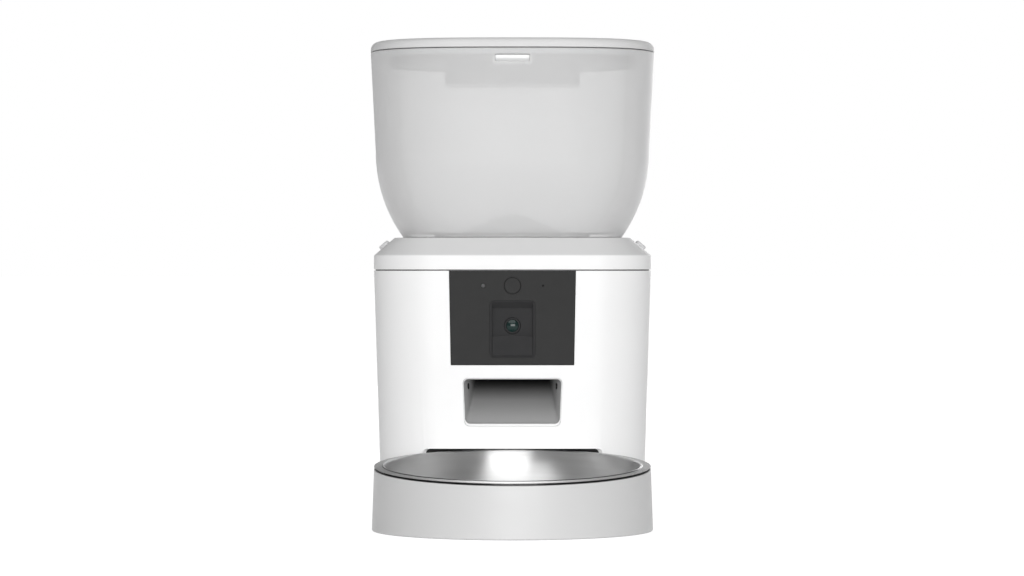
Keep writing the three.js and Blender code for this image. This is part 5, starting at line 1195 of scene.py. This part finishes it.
def make_agitator():
    profile = soften([(0, 176.4), (3.5, 176.4), (3.5, 183.4), (7, 183.4), (7, 197.4), (4, 200),
                      (0, 200.9)], [0, 0.3, 0.1, 0.4, 1.5, 1.5, 0], closed=False)
    stem = turned(profile, 0, ROTOR_Y, "Z", 48)
    fins = [fin([(2, 189.4), (38, 189.4), (38, 195.4), (7, 207.4), (2, 207.4)],
                2 * math.pi * (i / 3 + 0.25)) for i in range(3)]
    return joined(stem, *fins)


piece("agitator_fins", make_agitator(), "agitator", SILICONE)

# CAD nodes that stay as they are take a material of their slot

for name, obj in frame["nodes"].items():
    if obj.hide_render:
        continue
    material = SLOT_MATERIALS[SLOT_OF[name]]
    if not obj.material_slots:
        obj.data.materials.append(material)
    for holder in obj.material_slots:
        holder.material = material

# Floor, world and lamps

FLOOR_REACH = 40
FLOOR_SEEN, FLOOR_GLOW = 0.72, 0.1
STRIP_LEVEL = 2.8
SIDE_LEVELS = (0.15, 0.45)
GLOSS_LEVEL = 0.33


def make_floor():
    """A pale floor that the camera, glass and metal see as white, with the object's shadow."""
    floor = new_object("floor", bpy.data.meshes.new("floor"))
    corners = [(x * FLOOR_REACH, y * FLOOR_REACH, 0)
               for x, y in ((-1, -1), (1, -1), (1, 1), (-1, 1))]
    floor.data.from_pydata(corners, [], [(0, 1, 2, 3)])
    material, shader, position = new_material("pale_floor")
    put(shader, "Base Color", blend(noise(position, 3.0), grey(0.5), grey(0.52)))
    put(shader, "Roughness", 1.0)
    put(shader, "Specular IOR Level", 0.0)
    path = node(shader, "LightPath").outputs
    seen = maths("MAXIMUM", path["Is Camera Ray"], path["Is Transmission Ray"])
    seen = maths("MAXIMUM", seen, path["Is Glossy Ray"])
    put(shader, "Emission Color", grey(1))
    put(shader, "Emission Strength", maths("MULTIPLY_ADD", seen, FLOOR_SEEN, FLOOR_GLOW))
    floor.data.materials.append(material)


def make_world():
    """White where it is seen, soft light from above, and a strip and two sides for gloss."""
    world = bpy.data.worlds.new("studio")
    bpy.context.scene.world = world
    world.use_nodes = True
    back = world.node_tree.nodes["Background"]
    path = node(back, "LightPath").outputs
    way = node(back, "TexCoord").outputs["Generated"]
    x, y, z = node(back, "SeparateXYZ", {0: way}).outputs
    soft = spread(z, 0.8, 0.28, 0.0, 1.0)
    across = maths("ABSOLUTE", maths("ADD", x, 0.07))
    strip = maths("MULTIPLY", spread(across, STRIP_LEVEL, 0.0, 0.37, 0.53),
                  spread(y, 1.0, 0.0, -0.2, 0.0))
    strip = maths("MULTIPLY", strip, spread(z, 0.0, 1.0, 0.3, 0.45))
    sides = maths("ADD", spread(x, SIDE_LEVELS[0], 0.0, -0.95, -0.7),
                  spread(x, 0.0, SIDE_LEVELS[1], 0.7, 0.95))
    sides = maths("MULTIPLY", sides, spread(z, 0.0, 1.0, 0.1, 0.3))
    gloss = maths("ADD", maths("ADD", strip, sides), GLOSS_LEVEL)
    level = node(back, "Mix", {0: path["Is Glossy Ray"], 2: soft, 3: gloss}).outputs[0]
    seen = maths("MAXIMUM", path["Is Camera Ray"], path["Is Transmission Ray"])
    put(back, "Color", grey(1))
    put(back, "Strength", node(back, "Mix", {0: seen, 2: level, 3: 1.0}).outputs[0])


def lamp(name, place, aim, size, power):
    data = bpy.data.lights.new(name, "AREA")
    data.shape = "RECTANGLE"
    data.size, data.size_y = size
    data.energy = power
    made = new_object(name, data)
    made.location = place
    made.rotation_euler = (Vector(aim) - Vector(place)).to_track_quat("-Z", "Y").to_euler()


make_floor()
make_world()
lamp("rear_lamp", (0.5, 2.6, 0.6), (0, 0.1, 0.16), (1.6, 1.0), 10)
lamp("front_lamp", (0.12, -2.2, 0.3), (0, 0, 0.16), (1.5, 0.7), 29)
